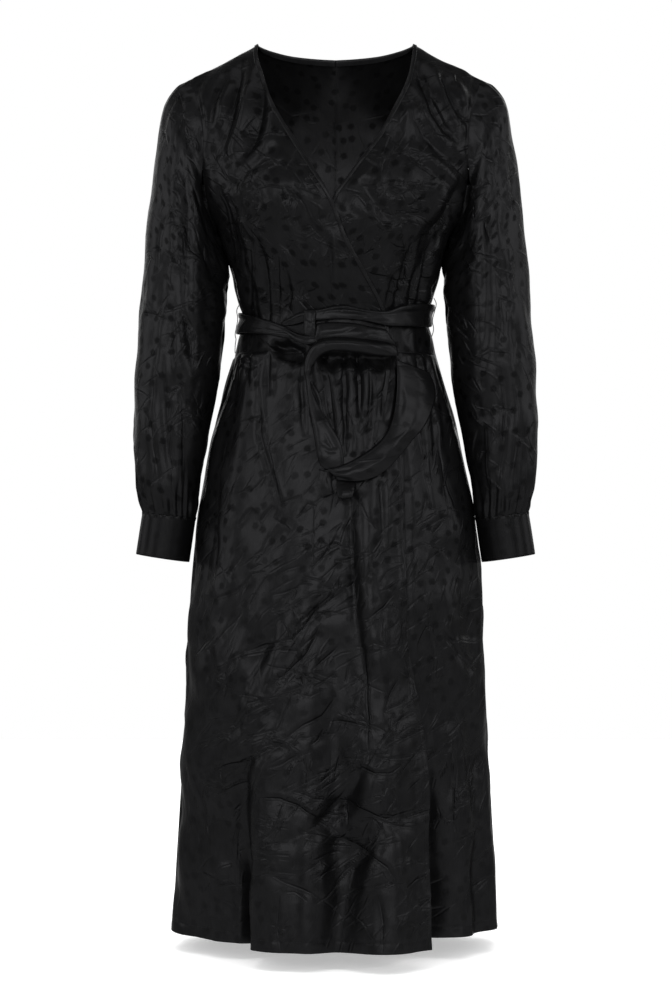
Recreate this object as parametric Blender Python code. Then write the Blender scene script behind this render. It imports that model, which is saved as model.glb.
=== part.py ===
"""A long-sleeved a-line wrap dress of black dotted satin, filled out as if worn, with nobody in it.

Every piece is a thin wall of cloth on one dress form. +X is the wearer's left, -Y the front and +Z up. The
origin lies midway between the two neck points, where the shoulder seams meet the neck and the wearer's
shoulders carry the dress. A place on the form is a turn, in degrees from the centre front towards the
wearer's left, and a height.
"""

import math
from collections import namedtuple

import bmesh
import bpy
from mathutils import Vector

# Driving sizes, in metres
CLOTH_WALL = 0.0012
BAND_WALL = 0.0018  # cuffs and belt are two layers
BINDING_WALL = 0.0010
BINDING_WIDTH = 0.0055
BINDING_GAP = 0.0006
SEAM_GAP = 0.0003
ARMHOLE_GAP = 0.00048  # the armhole seam runs slanting, so it is opened a little more
WRAP_LIFT = 0.0036  # how far the outer front lies off the inner one
NECK_HALF = 0.102
SHOULDER_TIP = 0.1916
SHOULDER_SLOPE = 0.58  # at the neck point
SHOULDER_EASING = 0.70  # how much gentler the slope gets towards the tip, per metre
SHOULDER_ROUND = 0.12  # how far below its seam a shoulder still rounds over
UNDERARM = -0.245
WAIST_SEAM = -0.410
HEM = -1.162
INNER_HEM = -1.156
STEP = 0.0005  # for slopes of the form

Section = namedtuple("Section", "height half_width front back")
FORM_SECTIONS = (
    Section(0.060, 0.215, 0.070, 0.070),
    Section(0.000, 0.215, 0.085, 0.080),
    Section(-0.050, 0.214, 0.100, 0.090),
    Section(-0.100, 0.208, 0.115, 0.102),
    Section(-0.150, 0.197, 0.127, 0.108),
    Section(-0.200, 0.180, 0.136, 0.106),
    Section(-0.225, 0.1695, 0.1375, 0.103),
    Section(-0.245, 0.1575, 0.136, 0.100),
    Section(-0.290, 0.1400, 0.124, 0.092),
    Section(-0.325, 0.1305, 0.108, 0.085),
    Section(-0.345, 0.1250, 0.101, 0.082),
    Section(-0.361, 0.1200, 0.098, 0.080),
    Section(-0.379, 0.1245, 0.099, 0.082),
    Section(-0.410, 0.1325, 0.103, 0.089),
    Section(-0.450, 0.1440, 0.110, 0.101),
    Section(-0.500, 0.1580, 0.118, 0.115),
    Section(-0.600, 0.1778, 0.132, 0.133),
    Section(-0.700, 0.1893, 0.143, 0.144),
    Section(-0.800, 0.1945, 0.151, 0.151),
    Section(-0.900, 0.1990, 0.158, 0.157),
    Section(-1.000, 0.2050, 0.165, 0.163),
    Section(-1.100, 0.2110, 0.173, 0.170),
    Section(-1.170, 0.2130, 0.179, 0.175),
)

# Edges that cross the form, from the front: x towards the wearer's left, and height
Edge = namedtuple("Edge", "x height")
OUTER_NECKLINE = (  # the wearer's right front, which laps over
    Edge(-0.1020, 0.0),
    Edge(-0.1000, -0.030),
    Edge(-0.0800, -0.0925),
    Edge(-0.0486, -0.1476),
    Edge(-0.0056, -0.2190),
    Edge(0.0145, -0.2685),
    Edge(0.0374, -0.3092),
    Edge(0.0581, -0.3466),
    Edge(0.0659, -0.3755),
    Edge(0.0709, -0.4100),
)
INNER_NECKLINE = (  # the wearer's left front, mirrored where the wrap hides it
    Edge(0.1020, 0.0),
    Edge(0.0985, -0.031),
    Edge(0.0915, -0.0617),
    Edge(0.0743, -0.0990),
    Edge(0.0537, -0.1379),
    Edge(0.0208, -0.1828),
    Edge(-0.0031, -0.2187),
    Edge(-0.0200, -0.2685),
    Edge(-0.0410, -0.3200),
    Edge(-0.0600, -0.3800),
    Edge(-0.0660, -0.4100),
)
WRAP_EDGE = (
    Edge(0.0709, -0.4100),
    Edge(0.0760, -0.4700),
    Edge(0.0818, -0.5487),
    Edge(0.0852, -0.6499),
    Edge(0.0887, -0.7655),
    Edge(0.0985, -0.8250),
    Edge(0.1127, -0.9016),
    Edge(0.1170, -0.9700),
    Edge(0.1182, -1.1700),
)
INNER_WRAP_EDGE = (Edge(-0.0660, -0.4100), Edge(-0.0740, -0.6500), Edge(-0.0800, -1.1700))
BACK_NECKLINE = (Edge(0.0, -0.0060), Edge(0.0300, -0.0059), Edge(0.0600, -0.0050), Edge(0.0830, -0.0026),
                 Edge(NECK_HALF, 0.0))

Armhole = namedtuple("Armhole", "height front_x back_x")
ARMHOLE = (
    Armhole(-0.0463, 0.1916, 0.1916),
    Armhole(-0.0630, 0.1860, 0.1878),
    Armhole(-0.0880, 0.1770, 0.1825),
    Armhole(-0.1200, 0.1710, 0.1785),
    Armhole(-0.1500, 0.1705, 0.1770),
    Armhole(-0.1780, 0.1710, 0.1745),
    Armhole(-0.2060, 0.1670, 0.1690),
    Armhole(-0.2290, 0.1615, 0.1615),
    Armhole(-0.2450, 0.1575, 0.1575),
)

# Deep vertical folds of the skirt. A fold starts at its top and is deepest at the hem; out is + outwards.
Fold = namedtuple("Fold", "turn spread top out")
OUTER_SKIRT_FOLDS = (
    Fold(-55, 32, -0.80, -0.022),
    Fold(-42, 14, -0.85, -0.028),
    Fold(-37.5, 7, -0.88, -0.032),
    Fold(-22, 10, -0.60, 0.008),
    Fold(1, 12, -0.50, -0.026),
    Fold(19, 13, -0.55, 0.018),
)
INNER_SKIRT_FOLDS = (
    Fold(0, 80, -0.40, -0.012),
    Fold(1, 14, -0.46, -0.036),
    Fold(38, 24, -0.70, -0.050),
    Fold(66, 12, -0.60, -0.014),
)
BACK_SKIRT_FOLDS = (
    Fold(118, 13, -0.60, -0.024),
    Fold(140, 10, -0.55, 0.012),
    Fold(163, 12, -0.50, -0.030),
    Fold(181, 9, -0.60, 0.012),
    Fold(203, 14, -0.65, -0.036),
    Fold(224, 10, -0.55, 0.010),
    Fold(244, 11, -0.70, -0.018),
)
GATHER_DEPTH = 0.0020  # soft gathers under the waist seam
GATHER_PITCH = 24.0  # degrees of turn, a whole number of times round
GATHER_PEAK = 0.060
GATHER_REACH = 0.240
TURN_STEP = 0.5  # degrees and metres over which a fold's slope is measured
HEIGHT_STEP = 0.002

# The rings of a sleeve from the front: its outer and inner outline, and its half depth and forward swing
Ring = namedtuple("Ring", "outer_x outer_height inner_x inner_height half_depth forward gather")
SLEEVE_RINGS = (
    Ring(0.2074, -0.0550, 0.1549, -0.2542, 0.057, 0.000, 0.0),
    Ring(0.2219, -0.0747, 0.1505, -0.2647, 0.060, 0.000, 0.0),
    Ring(0.2308, -0.1060, 0.1457, -0.2766, 0.062, 0.000, 0.0),
    Ring(0.2370, -0.1449, 0.1422, -0.2884, 0.063, 0.001, 0.0),
    Ring(0.2428, -0.1975, 0.1420, -0.3069, 0.063, 0.002, 0.0),
    Ring(0.2500, -0.2620, 0.1432, -0.3330, 0.062, 0.004, 0.0),
    Ring(0.2560, -0.3400, 0.1458, -0.3740, 0.060, 0.007, 0.0),
    Ring(0.2625, -0.4380, 0.1540, -0.4450, 0.057, 0.011, 0.0),
    Ring(0.2648, -0.5250, 0.1685, -0.5280, 0.053, 0.015, 0.0010),
    Ring(0.2606, -0.5808, 0.1790, -0.5834, 0.047, 0.018, 0.0024),
    Ring(0.2545, -0.6045, 0.1822, -0.6098, 0.040, 0.019, 0.0020),
    Ring(0.2525, -0.6150, 0.1830, -0.6224, 0.034, 0.020, 0.0),
)
CUFF_RINGS = (
    Ring(0.2527, -0.6154, 0.1828, -0.6228, 0.0340, 0.020, 0.0),
    Ring(0.2568, -0.6420, 0.1868, -0.6508, 0.0335, 0.021, 0.0),
    Ring(0.2608, -0.6690, 0.1911, -0.6796, 0.0335, 0.022, 0.0),
)

# The belt round the waist: its top and bottom edge at each turn, and how far it stands off the form
BeltStation = namedtuple("BeltStation", "turn top bottom lift")
BELT_STATIONS = (
    BeltStation(-12.5, -0.3570, -0.3722, 0.0068),
    BeltStation(4, -0.3503, -0.3700, 0.0062),
    BeltStation(16, -0.3550, -0.3725, 0.0064),
    BeltStation(30, -0.3567, -0.3779, 0.0068),
    BeltStation(42, -0.3482, -0.3778, 0.0064),
    BeltStation(58, -0.3440, -0.3768, 0.0050),
    BeltStation(90, -0.3420, -0.3720, 0.0034),
    BeltStation(135, -0.3435, -0.3740, 0.0034),
    BeltStation(180, -0.3455, -0.3770, 0.0034),
    BeltStation(225, -0.3480, -0.3795, 0.0034),
    BeltStation(270, -0.3508, -0.3822, 0.0040),
    BeltStation(300, -0.3602, -0.3845, 0.0056),
    BeltStation(320, -0.3713, -0.3900, 0.0062),
    BeltStation(332, -0.3800, -0.3940, 0.0064),
    BeltStation(343, -0.3895, -0.3970, 0.0068),
)

# Loose stretches of the belt: the two edges of the ribbon from the front, and how far it stands off the form
Ribbon = namedtuple("Ribbon", "ax aheight bx bheight lift crown")
KNOT_ROWS = (
    Ribbon(-0.0400, -0.3525, -0.0247, -0.3525, 0.0090, 0.0010),
    Ribbon(-0.0405, -0.3640, -0.0245, -0.3640, 0.0125, 0.0020),
    Ribbon(-0.0400, -0.3850, -0.0247, -0.3850, 0.0125, 0.0020),
    Ribbon(-0.0390, -0.3990, -0.0250, -0.3985, 0.0095, 0.0010),
)
DRAPE_ROWS = (
    Ribbon(-0.0222, -0.3760, -0.0232, -0.4030, 0.0090, 0.0030),
    Ribbon(0.0057, -0.3745, -0.0006, -0.4083, 0.0110, 0.0050),
    Ribbon(0.0260, -0.3760, 0.0209, -0.4172, 0.0120, 0.0060),
    Ribbon(0.0460, -0.3800, 0.0500, -0.4170, 0.0115, 0.0050),
    Ribbon(0.0643, -0.3825, 0.0796, -0.4159, 0.0100, 0.0030),
)
LOOP_ROWS = (
    Ribbon(-0.0388, -0.3996, -0.0252, -0.3992, 0.0090, 0.0010),
    Ribbon(-0.0399, -0.4423, -0.0222, -0.4374, 0.0100, 0.0030),
    Ribbon(-0.0360, -0.4730, -0.0195, -0.4650, 0.0110, 0.0030),
    Ribbon(-0.0296, -0.5061, -0.0107, -0.4960, 0.0120, 0.0030),
    Ribbon(-0.0245, -0.5350, 0.0010, -0.5250, 0.0125, 0.0030),
    Ribbon(-0.0120, -0.5610, 0.0100, -0.5420, 0.0140, 0.0040),
    Ribbon(0.0100, -0.5740, 0.0200, -0.5490, 0.0160, 0.0050),
    Ribbon(0.0380, -0.5730, 0.0358, -0.5454, 0.0160, 0.0050),
    Ribbon(0.0640, -0.5560, 0.0500, -0.5380, 0.0160, 0.0050),
    Ribbon(0.0880, -0.5350, 0.0650, -0.5240, 0.0165, 0.0060),
    Ribbon(0.1080, -0.5100, 0.0725, -0.5000, 0.0170, 0.0060),
    Ribbon(0.1230, -0.4830, 0.0767, -0.4726, 0.0170, 0.0060),
    Ribbon(0.1290, -0.4600, 0.0785, -0.4500, 0.0150, 0.0050),
    Ribbon(0.1250, -0.4440, 0.0795, -0.4300, 0.0120, 0.0030),
    Ribbon(0.0980, -0.4300, 0.0794, -0.4165, 0.0095, 0.0010),
)
LONG_TAIL_ROWS = (
    Ribbon(-0.0200, -0.5640, -0.0030, -0.5700, 0.0064, 0.0015),
    Ribbon(-0.0215, -0.5830, -0.0025, -0.5850, 0.0060, 0.0020),
    Ribbon(-0.0207, -0.6000, -0.0019, -0.6007, 0.0056, 0.0010),
)
SHORT_TAIL_ROWS = (
    Ribbon(0.0006, -0.5780, 0.0220, -0.5800, 0.0056, 0.0012),
    Ribbon(0.0002, -0.5880, 0.0250, -0.5880, 0.0051, 0.0012),
    Ribbon(0.0006, -0.5995, 0.0245, -0.5975, 0.0048, 0.0008),
)

# Thread loops that carry the belt at the side seams: how far each point stands off the form, and its height
Thread = namedtuple("Thread", "lift height")
THREAD_RADIUS = 0.0006
RIGHT_CARRIER = (
    Thread(0.0010, -0.3420),
    Thread(0.0046, -0.3450),
    Thread(0.0072, -0.3485),
    Thread(0.0082, -0.3590),
    Thread(0.0080, -0.3740),
    Thread(0.0072, -0.3840),
    Thread(0.0040, -0.3880),
    Thread(0.0036, -0.3970),
    Thread(0.0010, -0.4060),
)
LEFT_CARRIER = (
    Thread(0.0010, -0.3330),
    Thread(0.0044, -0.3360),
    Thread(0.0068, -0.3400),
    Thread(0.0070, -0.3480),
    Thread(0.0068, -0.3640),
    Thread(0.0066, -0.3745),
    Thread(0.0044, -0.3790),
    Thread(0.0010, -0.3840),
)

# How finely the cloth is cut into facets
ARMHOLE_ROWS = 10
SIDE_ROWS = (-0.275, -0.310, -0.343, -0.361, -0.379, WAIST_SEAM)
SKIRT_DROPS = (0.0, 0.028, 0.062, 0.105, 0.160, 0.230, 0.310, 0.400, 0.490, 0.580, 0.670, 1.0)
FRONT_COLUMNS = 12
BACK_COLUMNS = 8
OUTER_SKIRT_COLUMNS = 23
INNER_SKIRT_COLUMNS = 18
BACK_SKIRT_COLUMNS = 22
BELT_FACET = 12.0

SATIN = (0.012, 0.012, 0.013)
THREAD = (0.010, 0.010, 0.011)


class Smooth:
    """A smooth curve through the rows of a table, read along one of its columns."""

    def __init__(self, rows, key):
        ordered = sorted(rows, key=lambda row: getattr(row, key))
        self.places = [getattr(row, key) for row in ordered]
        self.columns = {name: [getattr(row, name) for row in ordered] for name in ordered[0]._fields}

    def slope(self, values, i):
        low = max(i - 1, 0)
        high = min(i + 1, len(values) - 1)
        return (values[high] - values[low]) / (self.places[high] - self.places[low])

    def read(self, name, place):
        values = self.columns[name]
        i = 0
        while i < len(values) - 2 and place > self.places[i + 1]:
            i += 1
        span = self.places[i + 1] - self.places[i]
        t = (place - self.places[i]) / span
        return (
            (1 + 2 * t) * (1 - t) ** 2 * values[i]
            + t * (1 - t) ** 2 * span * self.slope(values, i)
            + t * t * (3 - 2 * t) * values[i + 1]
            + t * t * (t - 1) * span * self.slope(values, i + 1)
        )


FORM = Smooth(FORM_SECTIONS, "height")
ARMHOLE_CURVE = Smooth(ARMHOLE, "height")


def ramp(value, start, end):
    """0 at start and 1 at end, with soft ends."""
    t = min(max((value - start) / (end - start), 0.0), 1.0)
    return t * t * (3 - 2 * t)


def shoulder_height(x):
    """The height of the shoulder seam, and of its run on across the neck."""
    out = abs(x) - NECK_HALF
    return -SHOULDER_SLOPE * out + SHOULDER_EASING * out * out


def depth_squared(x, height, side):
    """The square of the form's y at this x and height. It falls below 0 past the form's edges."""
    half_width = FORM.read("half_width", height)
    drop = shoulder_height(x) - height
    rounding = 1 - (1 - min(drop / SHOULDER_ROUND, 1.0)) ** 2
    return FORM.read(side, height) ** 2 * (1 - (x / half_width) ** 2) * rounding


def form_depth(x, height, side):
    return math.sqrt(max(depth_squared(x, height, side), 0.0))


def form_normal(x, y, height, side):
    across = depth_squared(x + STEP, height, side) - depth_squared(x - STEP, height, side)
    up = depth_squared(x, height + STEP, side) - depth_squared(x, height - STEP, side)
    return Vector((-across / (2 * STEP), 2 * y, -up / (2 * STEP))).normalized()


def on_form(turn, height):
    """The point of the form at a turn and a height, and its outward normal."""
    angle = math.radians(turn)
    side = "front" if math.cos(angle) > 1e-9 else "back"
    x = FORM.read("half_width", height) * math.sin(angle)
    y = form_depth(x, height, side) * (-1 if side == "front" else 1)
    normal = form_normal(x, y, height, side)
    return Vector((x, y, height)), normal


def skirt_swing(turn, height, folds):
    """How far the skirt's folds and gathers push the cloth out of the form here."""
    out = 0.0
    for fold in folds:
        apart = abs(turn - fold.turn) / fold.spread
        if apart < 1:
            out += fold.out * math.cos(apart * math.pi / 2) ** 2 * ramp(height, fold.top, HEM)
    drop = WAIST_SEAM - height
    fade = ramp(drop, 0, GATHER_PEAK) * (1 - ramp(drop, GATHER_PEAK, GATHER_REACH))
    return out + GATHER_DEPTH * fade * math.cos(turn * 2 * math.pi / GATHER_PITCH)


def wrap_lift(turn, height):
    """The outer front stands off the inner one where they lap, and is flush at its seams."""
    return WRAP_LIFT * ramp(turn, -64, -40) * ramp(height, -0.130, -0.200)


def cloth_point(turn, height, lift, swing=None):
    """A point of a panel and its normal: the form, moved out by a lift and by the panel's own folds."""
    point, normal = on_form(turn, height)
    if not swing:
        return point + normal * lift, normal
    here = swing(turn, height)
    ahead, _ = on_form(turn + TURN_STEP, height)
    above, _ = on_form(turn, height + HEIGHT_STEP)
    round_it = ahead - point
    up_it = above - point
    tilt = round_it.normalized() * ((swing(turn + TURN_STEP, height) - here) / round_it.length)
    tilt += up_it.normalized() * ((swing(turn, height + HEIGHT_STEP) - here) / up_it.length)
    return point + normal * (lift + here), (normal - tilt).normalized()


def turn_at(x, height):
    return math.degrees(math.asin(max(-1.0, min(1.0, x / FORM.read("half_width", height)))))


def material(name, colour, roughness):
    made = bpy.data.materials.new(name)
    made.use_nodes = True
    shader = made.node_tree.nodes["Principled BSDF"]
    shader.inputs["Base Color"].default_value = (*colour, 1.0)
    shader.inputs["Roughness"].default_value = roughness
    shader.inputs["Metallic"].default_value = 0.0
    made.diffuse_color = (*colour, 1.0)
    return made


def add_object(name, mesh, colour=SATIN, roughness=0.42):
    made = bpy.data.objects.new(name, mesh)
    bpy.context.scene.collection.objects.link(made)
    mesh.materials.append(material(name + "_cloth", colour, roughness))
    mesh.shade_smooth()
    mesh.set_sharp_from_angle(angle=math.radians(50))
    return made


def cloth_wall(name, rows, thickness, closed=False):
    """A wall of cloth from a grid of (point, normal): a sheet, and the same sheet moved in along its normals."""
    across = len(rows[0])
    bm = bmesh.new()
    if closed:
        rows = [row + row[:1] for row in rows]
        across += 1
    bmesh.ops.create_grid(bm, x_segments=across - 1, y_segments=len(rows) - 1, size=1.0)
    bm.verts.ensure_lookup_table()
    normals = {}
    for j, row in enumerate(rows):
        for i, (point, normal) in enumerate(row):
            vertex = bm.verts[j * across + i]
            vertex.co = point
            normals[vertex] = normal
    if closed:
        pairs = {bm.verts[j * across + across - 1]: bm.verts[j * across] for j in range(len(rows))}
        bmesh.ops.weld_verts(bm, targetmap=pairs)
    bmesh.ops.triangulate(bm, faces=bm.faces[:], quad_method="SHORT_EDGE")
    kept = [(vertex.co.copy(), normals[vertex]) for vertex in bm.verts]
    made = bmesh.ops.extrude_face_region(bm, geom=bm.faces[:], use_keep_orig=True)
    moved = [item for item in made["geom"] if isinstance(item, bmesh.types.BMVert)]
    for vertex in moved:
        start, normal = min(kept, key=lambda pair: (pair[0] - vertex.co).length_squared)
        vertex.co = start - normal * thickness
    bmesh.ops.recalc_face_normals(bm, faces=bm.faces[:])
    mesh = bpy.data.meshes.new(name)
    bm.to_mesh(mesh)
    bm.free()
    return add_object(name, mesh)


def seamed(point, normal, side):
    """Opens the seam between front and back panels, which meet where y is 0."""
    shift = -SEAM_GAP / 2 if side == "front" else SEAM_GAP / 2
    return point + Vector((0, shift, 0)), normal


def patch(left, right, top, bottom, rows, columns):
    """Fills four edges of a panel, each a list of (turn, height), with a grid that runs smoothly between them."""
    grid = []
    for j, t in enumerate(rows):
        line = []
        for i, s in enumerate(columns):
            place = []
            for k in (0, 1):
                blend = (1 - s) * left[j][k] + s * right[j][k] + (1 - t) * top[i][k] + t * bottom[i][k]
                corners = (1 - s) * (1 - t) * left[0][k] + s * (1 - t) * right[0][k]
                corners += (1 - s) * t * left[-1][k] + s * t * right[-1][k]
                place.append(blend - corners)
            line.append(tuple(place))
        grid.append(line)
    return grid


def share(count):
    return [i / count for i in range(count + 1)]


def armhole_heights():
    return [ARMHOLE[0].height + (UNDERARM - ARMHOLE[0].height) * (1 - math.cos(math.pi * t)) / 2
            for t in share(ARMHOLE_ROWS)]


def armhole_place(height, side, hand):
    x = ARMHOLE_CURVE.read(side + "_x", height)
    if height <= UNDERARM + 1e-9:
        return 90.0 * hand, height
    return turn_at(x, height) * hand, height


def shoulder_place(x):
    return turn_at(x, shoulder_height(x)), shoulder_height(x)


def row_shares(edge):
    top = edge[0][1]
    return [(top - height) / (top - edge[-1][1]) for _, height in edge]


def panel_heights(top):
    """Heights down an inner edge, level with the rows of the armhole and side seam."""
    outer = armhole_heights()
    span = UNDERARM - outer[0]
    down = [top + (UNDERARM - top) * (height - outer[0]) / span for height in outer]
    return down + list(SIDE_ROWS)


def front_places(hand):
    """The grid of a bodice front, from its neck edge to its armhole and side seam."""
    neckline = Smooth(OUTER_NECKLINE if hand < 0 else INNER_NECKLINE, "height")
    left = [(turn_at(neckline.read("x", height), height), height) for height in panel_heights(0.0)]
    right = [armhole_place(height, "front", hand) for height in armhole_heights()]
    right += [(90.0 * hand, height) for height in SIDE_ROWS]
    columns = share(FRONT_COLUMNS)
    top = [shoulder_place(hand * (NECK_HALF + (SHOULDER_TIP - NECK_HALF) * s)) for s in columns]
    bottom = [(left[-1][0] + (right[-1][0] - left[-1][0]) * s, WAIST_SEAM) for s in columns]
    return patch(left, right, top, bottom, row_shares(right), columns)


def back_places(hand):
    """The grid of a bodice back, from the centre seam to its armhole and side seam, as turns from the back."""
    neck = Smooth(BACK_NECKLINE, "x")
    left = [(0.0, height) for height in panel_heights(BACK_NECKLINE[0].height)]
    right = [armhole_place(height, "back", 1) for height in armhole_heights()]
    right += [(90.0, height) for height in SIDE_ROWS]
    columns = share(BACK_COLUMNS)
    top = []
    for s in columns:
        if s <= 0.5:
            x = NECK_HALF * s * 2
            height = neck.read("height", x)
            top.append((turn_at(x, height), height))
        else:
            top.append(shoulder_place(NECK_HALF + (SHOULDER_TIP - NECK_HALF) * (s * 2 - 1)))
    bottom = [(90.0 * s, WAIST_SEAM) for s in columns]
    grid = patch(left, right, top, bottom, row_shares(right), columns)
    return [[((180.0 - turn) * hand, height) for turn, height in row] for row in grid]


def front_point(hand, turn, height, lift):
    if hand < 0:
        lift += wrap_lift(turn, height)
    point, normal = cloth_point(turn, height, lift)
    return seamed(point, normal, "front")


def add_fronts():
    for hand, name in ((-1, "front_right"), (1, "front_left")):
        grid = [[front_point(hand, turn, height, 0.0) for turn, height in row] for row in front_places(hand)]
        cloth_wall(name, grid, CLOTH_WALL)


def add_backs():
    half_gap = Vector((SEAM_GAP / 2, 0, 0))
    for hand, name in ((-1, "back_right"), (1, "back_left")):
        grid = []
        for row in back_places(hand):
            line = [seamed(*cloth_point(turn, height, 0.0), "back") for turn, height in row]
            grid.append([(point + half_gap * hand, normal) for point, normal in line])
        cloth_wall(name, grid, CLOTH_WALL)


def add_neck_binding():
    """A narrow folded strip on the outside of each neck edge, from the panel's own points, moved out."""
    lift = BINDING_GAP + BINDING_WALL
    for hand, name in ((-1, "neck_binding_right"), (1, "neck_binding_left")):
        grid = []
        for row in front_places(hand)[1:]:
            edge, edge_normal = front_point(hand, *row[0], 0.0)
            inner, inner_normal = front_point(hand, *row[1], 0.0)
            step = (inner - edge).normalized() * BINDING_WIDTH
            grid.append([(edge + edge_normal * lift, edge_normal),
                         (edge + step + inner_normal * lift, inner_normal)])
        cloth_wall(name, grid, BINDING_WALL)
    grid = []
    for row in back_places(1)[:2]:
        half = row[: BACK_COLUMNS // 2 + 1]
        places = [(360.0 - turn, height) for turn, height in reversed(half[1:])] + half
        grid.append([seamed(*cloth_point(turn, height, lift), "back") for turn, height in places])
    cloth_wall("neck_binding_back", grid, BINDING_WALL)


def skirt_grid(start, end, columns, folds, bottom, outer):
    """A skirt panel from one edge to the other, each a table of x and height or a fixed turn."""
    top = WAIST_SEAM - SEAM_GAP
    side = "back" if folds is BACK_SKIRT_FOLDS else "front"
    grid = []
    for drop in SKIRT_DROPS:
        height = top - drop if drop < 1.0 else bottom
        first = turn_at(start.read("x", height), height) if isinstance(start, Smooth) else start
        last = turn_at(end.read("x", height), height) if isinstance(end, Smooth) else end
        line = []
        for s in share(columns):
            turn = first + (last - first) * s
            lift = wrap_lift(turn, height) if outer else 0.0
            point, normal = cloth_point(turn, height, lift, lambda a, b: skirt_swing(a, b, folds))
            line.append(seamed(point, normal, side))
        grid.append(line)
    return grid


def add_skirt():
    wrap = Smooth(WRAP_EDGE, "height")
    inner = Smooth(INNER_WRAP_EDGE, "height")
    outer_grid = skirt_grid(-90.0, wrap, OUTER_SKIRT_COLUMNS, OUTER_SKIRT_FOLDS, HEM, True)
    cloth_wall("skirt_front_right", outer_grid, CLOTH_WALL)
    inner_grid = skirt_grid(inner, 90.0, INNER_SKIRT_COLUMNS, INNER_SKIRT_FOLDS, INNER_HEM, False)
    cloth_wall("skirt_front_left", inner_grid, CLOTH_WALL)
    back_grid = skirt_grid(90.0, 270.0, BACK_SKIRT_COLUMNS, BACK_SKIRT_FOLDS, HEM, False)
    cloth_wall("skirt_back", back_grid, CLOTH_WALL)


def ring_points(ring, hand, count):
    """Points round a sleeve ring, from its outer side over the front to the inner side and back."""
    outer = Vector((ring.outer_x, 0, ring.outer_height))
    inner = Vector((ring.inner_x, 0, ring.inner_height))
    centre = (outer + inner) / 2
    reach = outer - centre
    points = []
    for i in range(count):
        angle = 2 * math.pi * i / count
        swell = 1 + ring.gather * math.cos(math.pi * i) / reach.length
        point = centre + reach * math.cos(angle) * swell
        point.y = -ring.forward - ring.half_depth * swell * math.sin(angle)
        points.append(Vector((point.x * hand, point.y, point.z)))
    return points


def armhole_ring(hand):
    """The armhole's own points, from the shoulder tip down the front and up the back."""
    heights = armhole_heights()
    clear = Vector((ARMHOLE_GAP * hand, 0, 0))
    front = [cloth_point(*armhole_place(height, "front", hand), 0.0)[0] for height in heights]
    places = [armhole_place(height, "back", 1) for height in reversed(heights[1:-1])]
    back = [cloth_point((180.0 - turn) * hand, height, 0.0)[0] for turn, height in places]
    return [point + clear for point in front + back]


def with_normals(rings, hand):
    """Pairs each point of a tube's rings with its outward normal."""
    count = len(rings[0])
    rows = []
    for j, ring in enumerate(rings):
        above = rings[max(j - 1, 0)]
        below = rings[min(j + 1, len(rings) - 1)]
        row = []
        for i, point in enumerate(ring):
            round_it = ring[(i + 1) % count] - ring[i - 1]
            down_it = below[i] - above[i]
            row.append((point, round_it.cross(down_it).normalized() * hand))
        rows.append(row)
    return rows


def add_sleeves():
    count = 2 * ARMHOLE_ROWS
    for hand, word in ((-1, "right"), (1, "left")):
        rings = [armhole_ring(hand)] + [ring_points(ring, hand, count) for ring in SLEEVE_RINGS]
        cloth_wall("sleeve_" + word, with_normals(rings, hand), CLOTH_WALL, closed=True)
        rings = [ring_points(ring, hand, count) for ring in CUFF_RINGS]
        cloth_wall("cuff_" + word, with_normals(rings, hand), BAND_WALL, closed=True)


def add_belt_band():
    stations = Smooth(BELT_STATIONS, "turn")
    turns = [station.turn for station in BELT_STATIONS]
    fine = []
    for first, last in zip(turns, turns[1:]):
        steps = max(1, round((last - first) / BELT_FACET))
        fine += [first + (last - first) * k / steps for k in range(steps)]
    fine.append(turns[-1])
    grid = []
    for s in (0.0, 0.5, 1.0):
        line = []
        for turn in fine:
            top = stations.read("top", turn)
            bottom = stations.read("bottom", turn)
            lift = stations.read("lift", turn) + BAND_WALL
            line.append(cloth_point(turn, top + (bottom - top) * s, lift))
        grid.append(line)
    cloth_wall("belt_band", grid, BAND_WALL)


def ribbon_rows(rows):
    """The grid of a loose ribbon, with its middle crowned, and a normal that faces away from the form."""
    grid = []
    for row in rows:
        line = []
        for s in (0.0, 0.5, 1.0):
            x = row.ax + (row.bx - row.ax) * s
            height = row.aheight + (row.bheight - row.aheight) * s
            y = -form_depth(x, height, "front") - row.lift - row.crown * math.sin(math.pi * s)
            line.append(Vector((x, y, height)))
        grid.append(line)
    pairs = []
    for j, line in enumerate(grid):
        above = grid[max(j - 1, 0)]
        below = grid[min(j + 1, len(grid) - 1)]
        paired = []
        for i, point in enumerate(line):
            normal = (line[min(i + 1, 2)] - line[max(i - 1, 0)]).cross(below[i] - above[i]).normalized()
            paired.append((point, normal if normal.y < 0 else -normal))
        pairs.append(paired)
    return pairs


def add_belt_ribbons():
    for name, rows in (
        ("belt_knot", KNOT_ROWS),
        ("belt_drape", DRAPE_ROWS),
        ("belt_loop", LOOP_ROWS),
        ("belt_tail_long", LONG_TAIL_ROWS),
        ("belt_tail_short", SHORT_TAIL_ROWS),
    ):
        cloth_wall(name, ribbon_rows(rows), BAND_WALL)


def add_carriers():
    for turn, name, rows in ((-90.0, "carrier_right", RIGHT_CARRIER), (90.0, "carrier_left", LEFT_CARRIER)):
        curve = bpy.data.curves.new(name, "CURVE")
        curve.dimensions = "3D"
        curve.bevel_depth = THREAD_RADIUS
        curve.bevel_resolution = 1
        curve.use_fill_caps = True
        spline = curve.splines.new("POLY")
        spline.points.add(len(rows) - 1)
        for place, row in zip(spline.points, rows):
            point, _ = cloth_point(turn, row.height, row.lift)
            place.co = (*point, 1.0)
        made = bpy.data.objects.new(name, curve)
        bpy.context.scene.collection.objects.link(made)
        curve.materials.append(material(name + "_thread", THREAD, 0.7))


def clear_scene():
    for item in list(bpy.data.objects):
        bpy.data.objects.remove(item, do_unlink=True)


clear_scene()
add_backs()
add_fronts()
add_neck_binding()
add_skirt()
add_sleeves()
add_belt_band()
add_belt_ribbons()
add_carriers()
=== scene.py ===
import math

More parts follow.
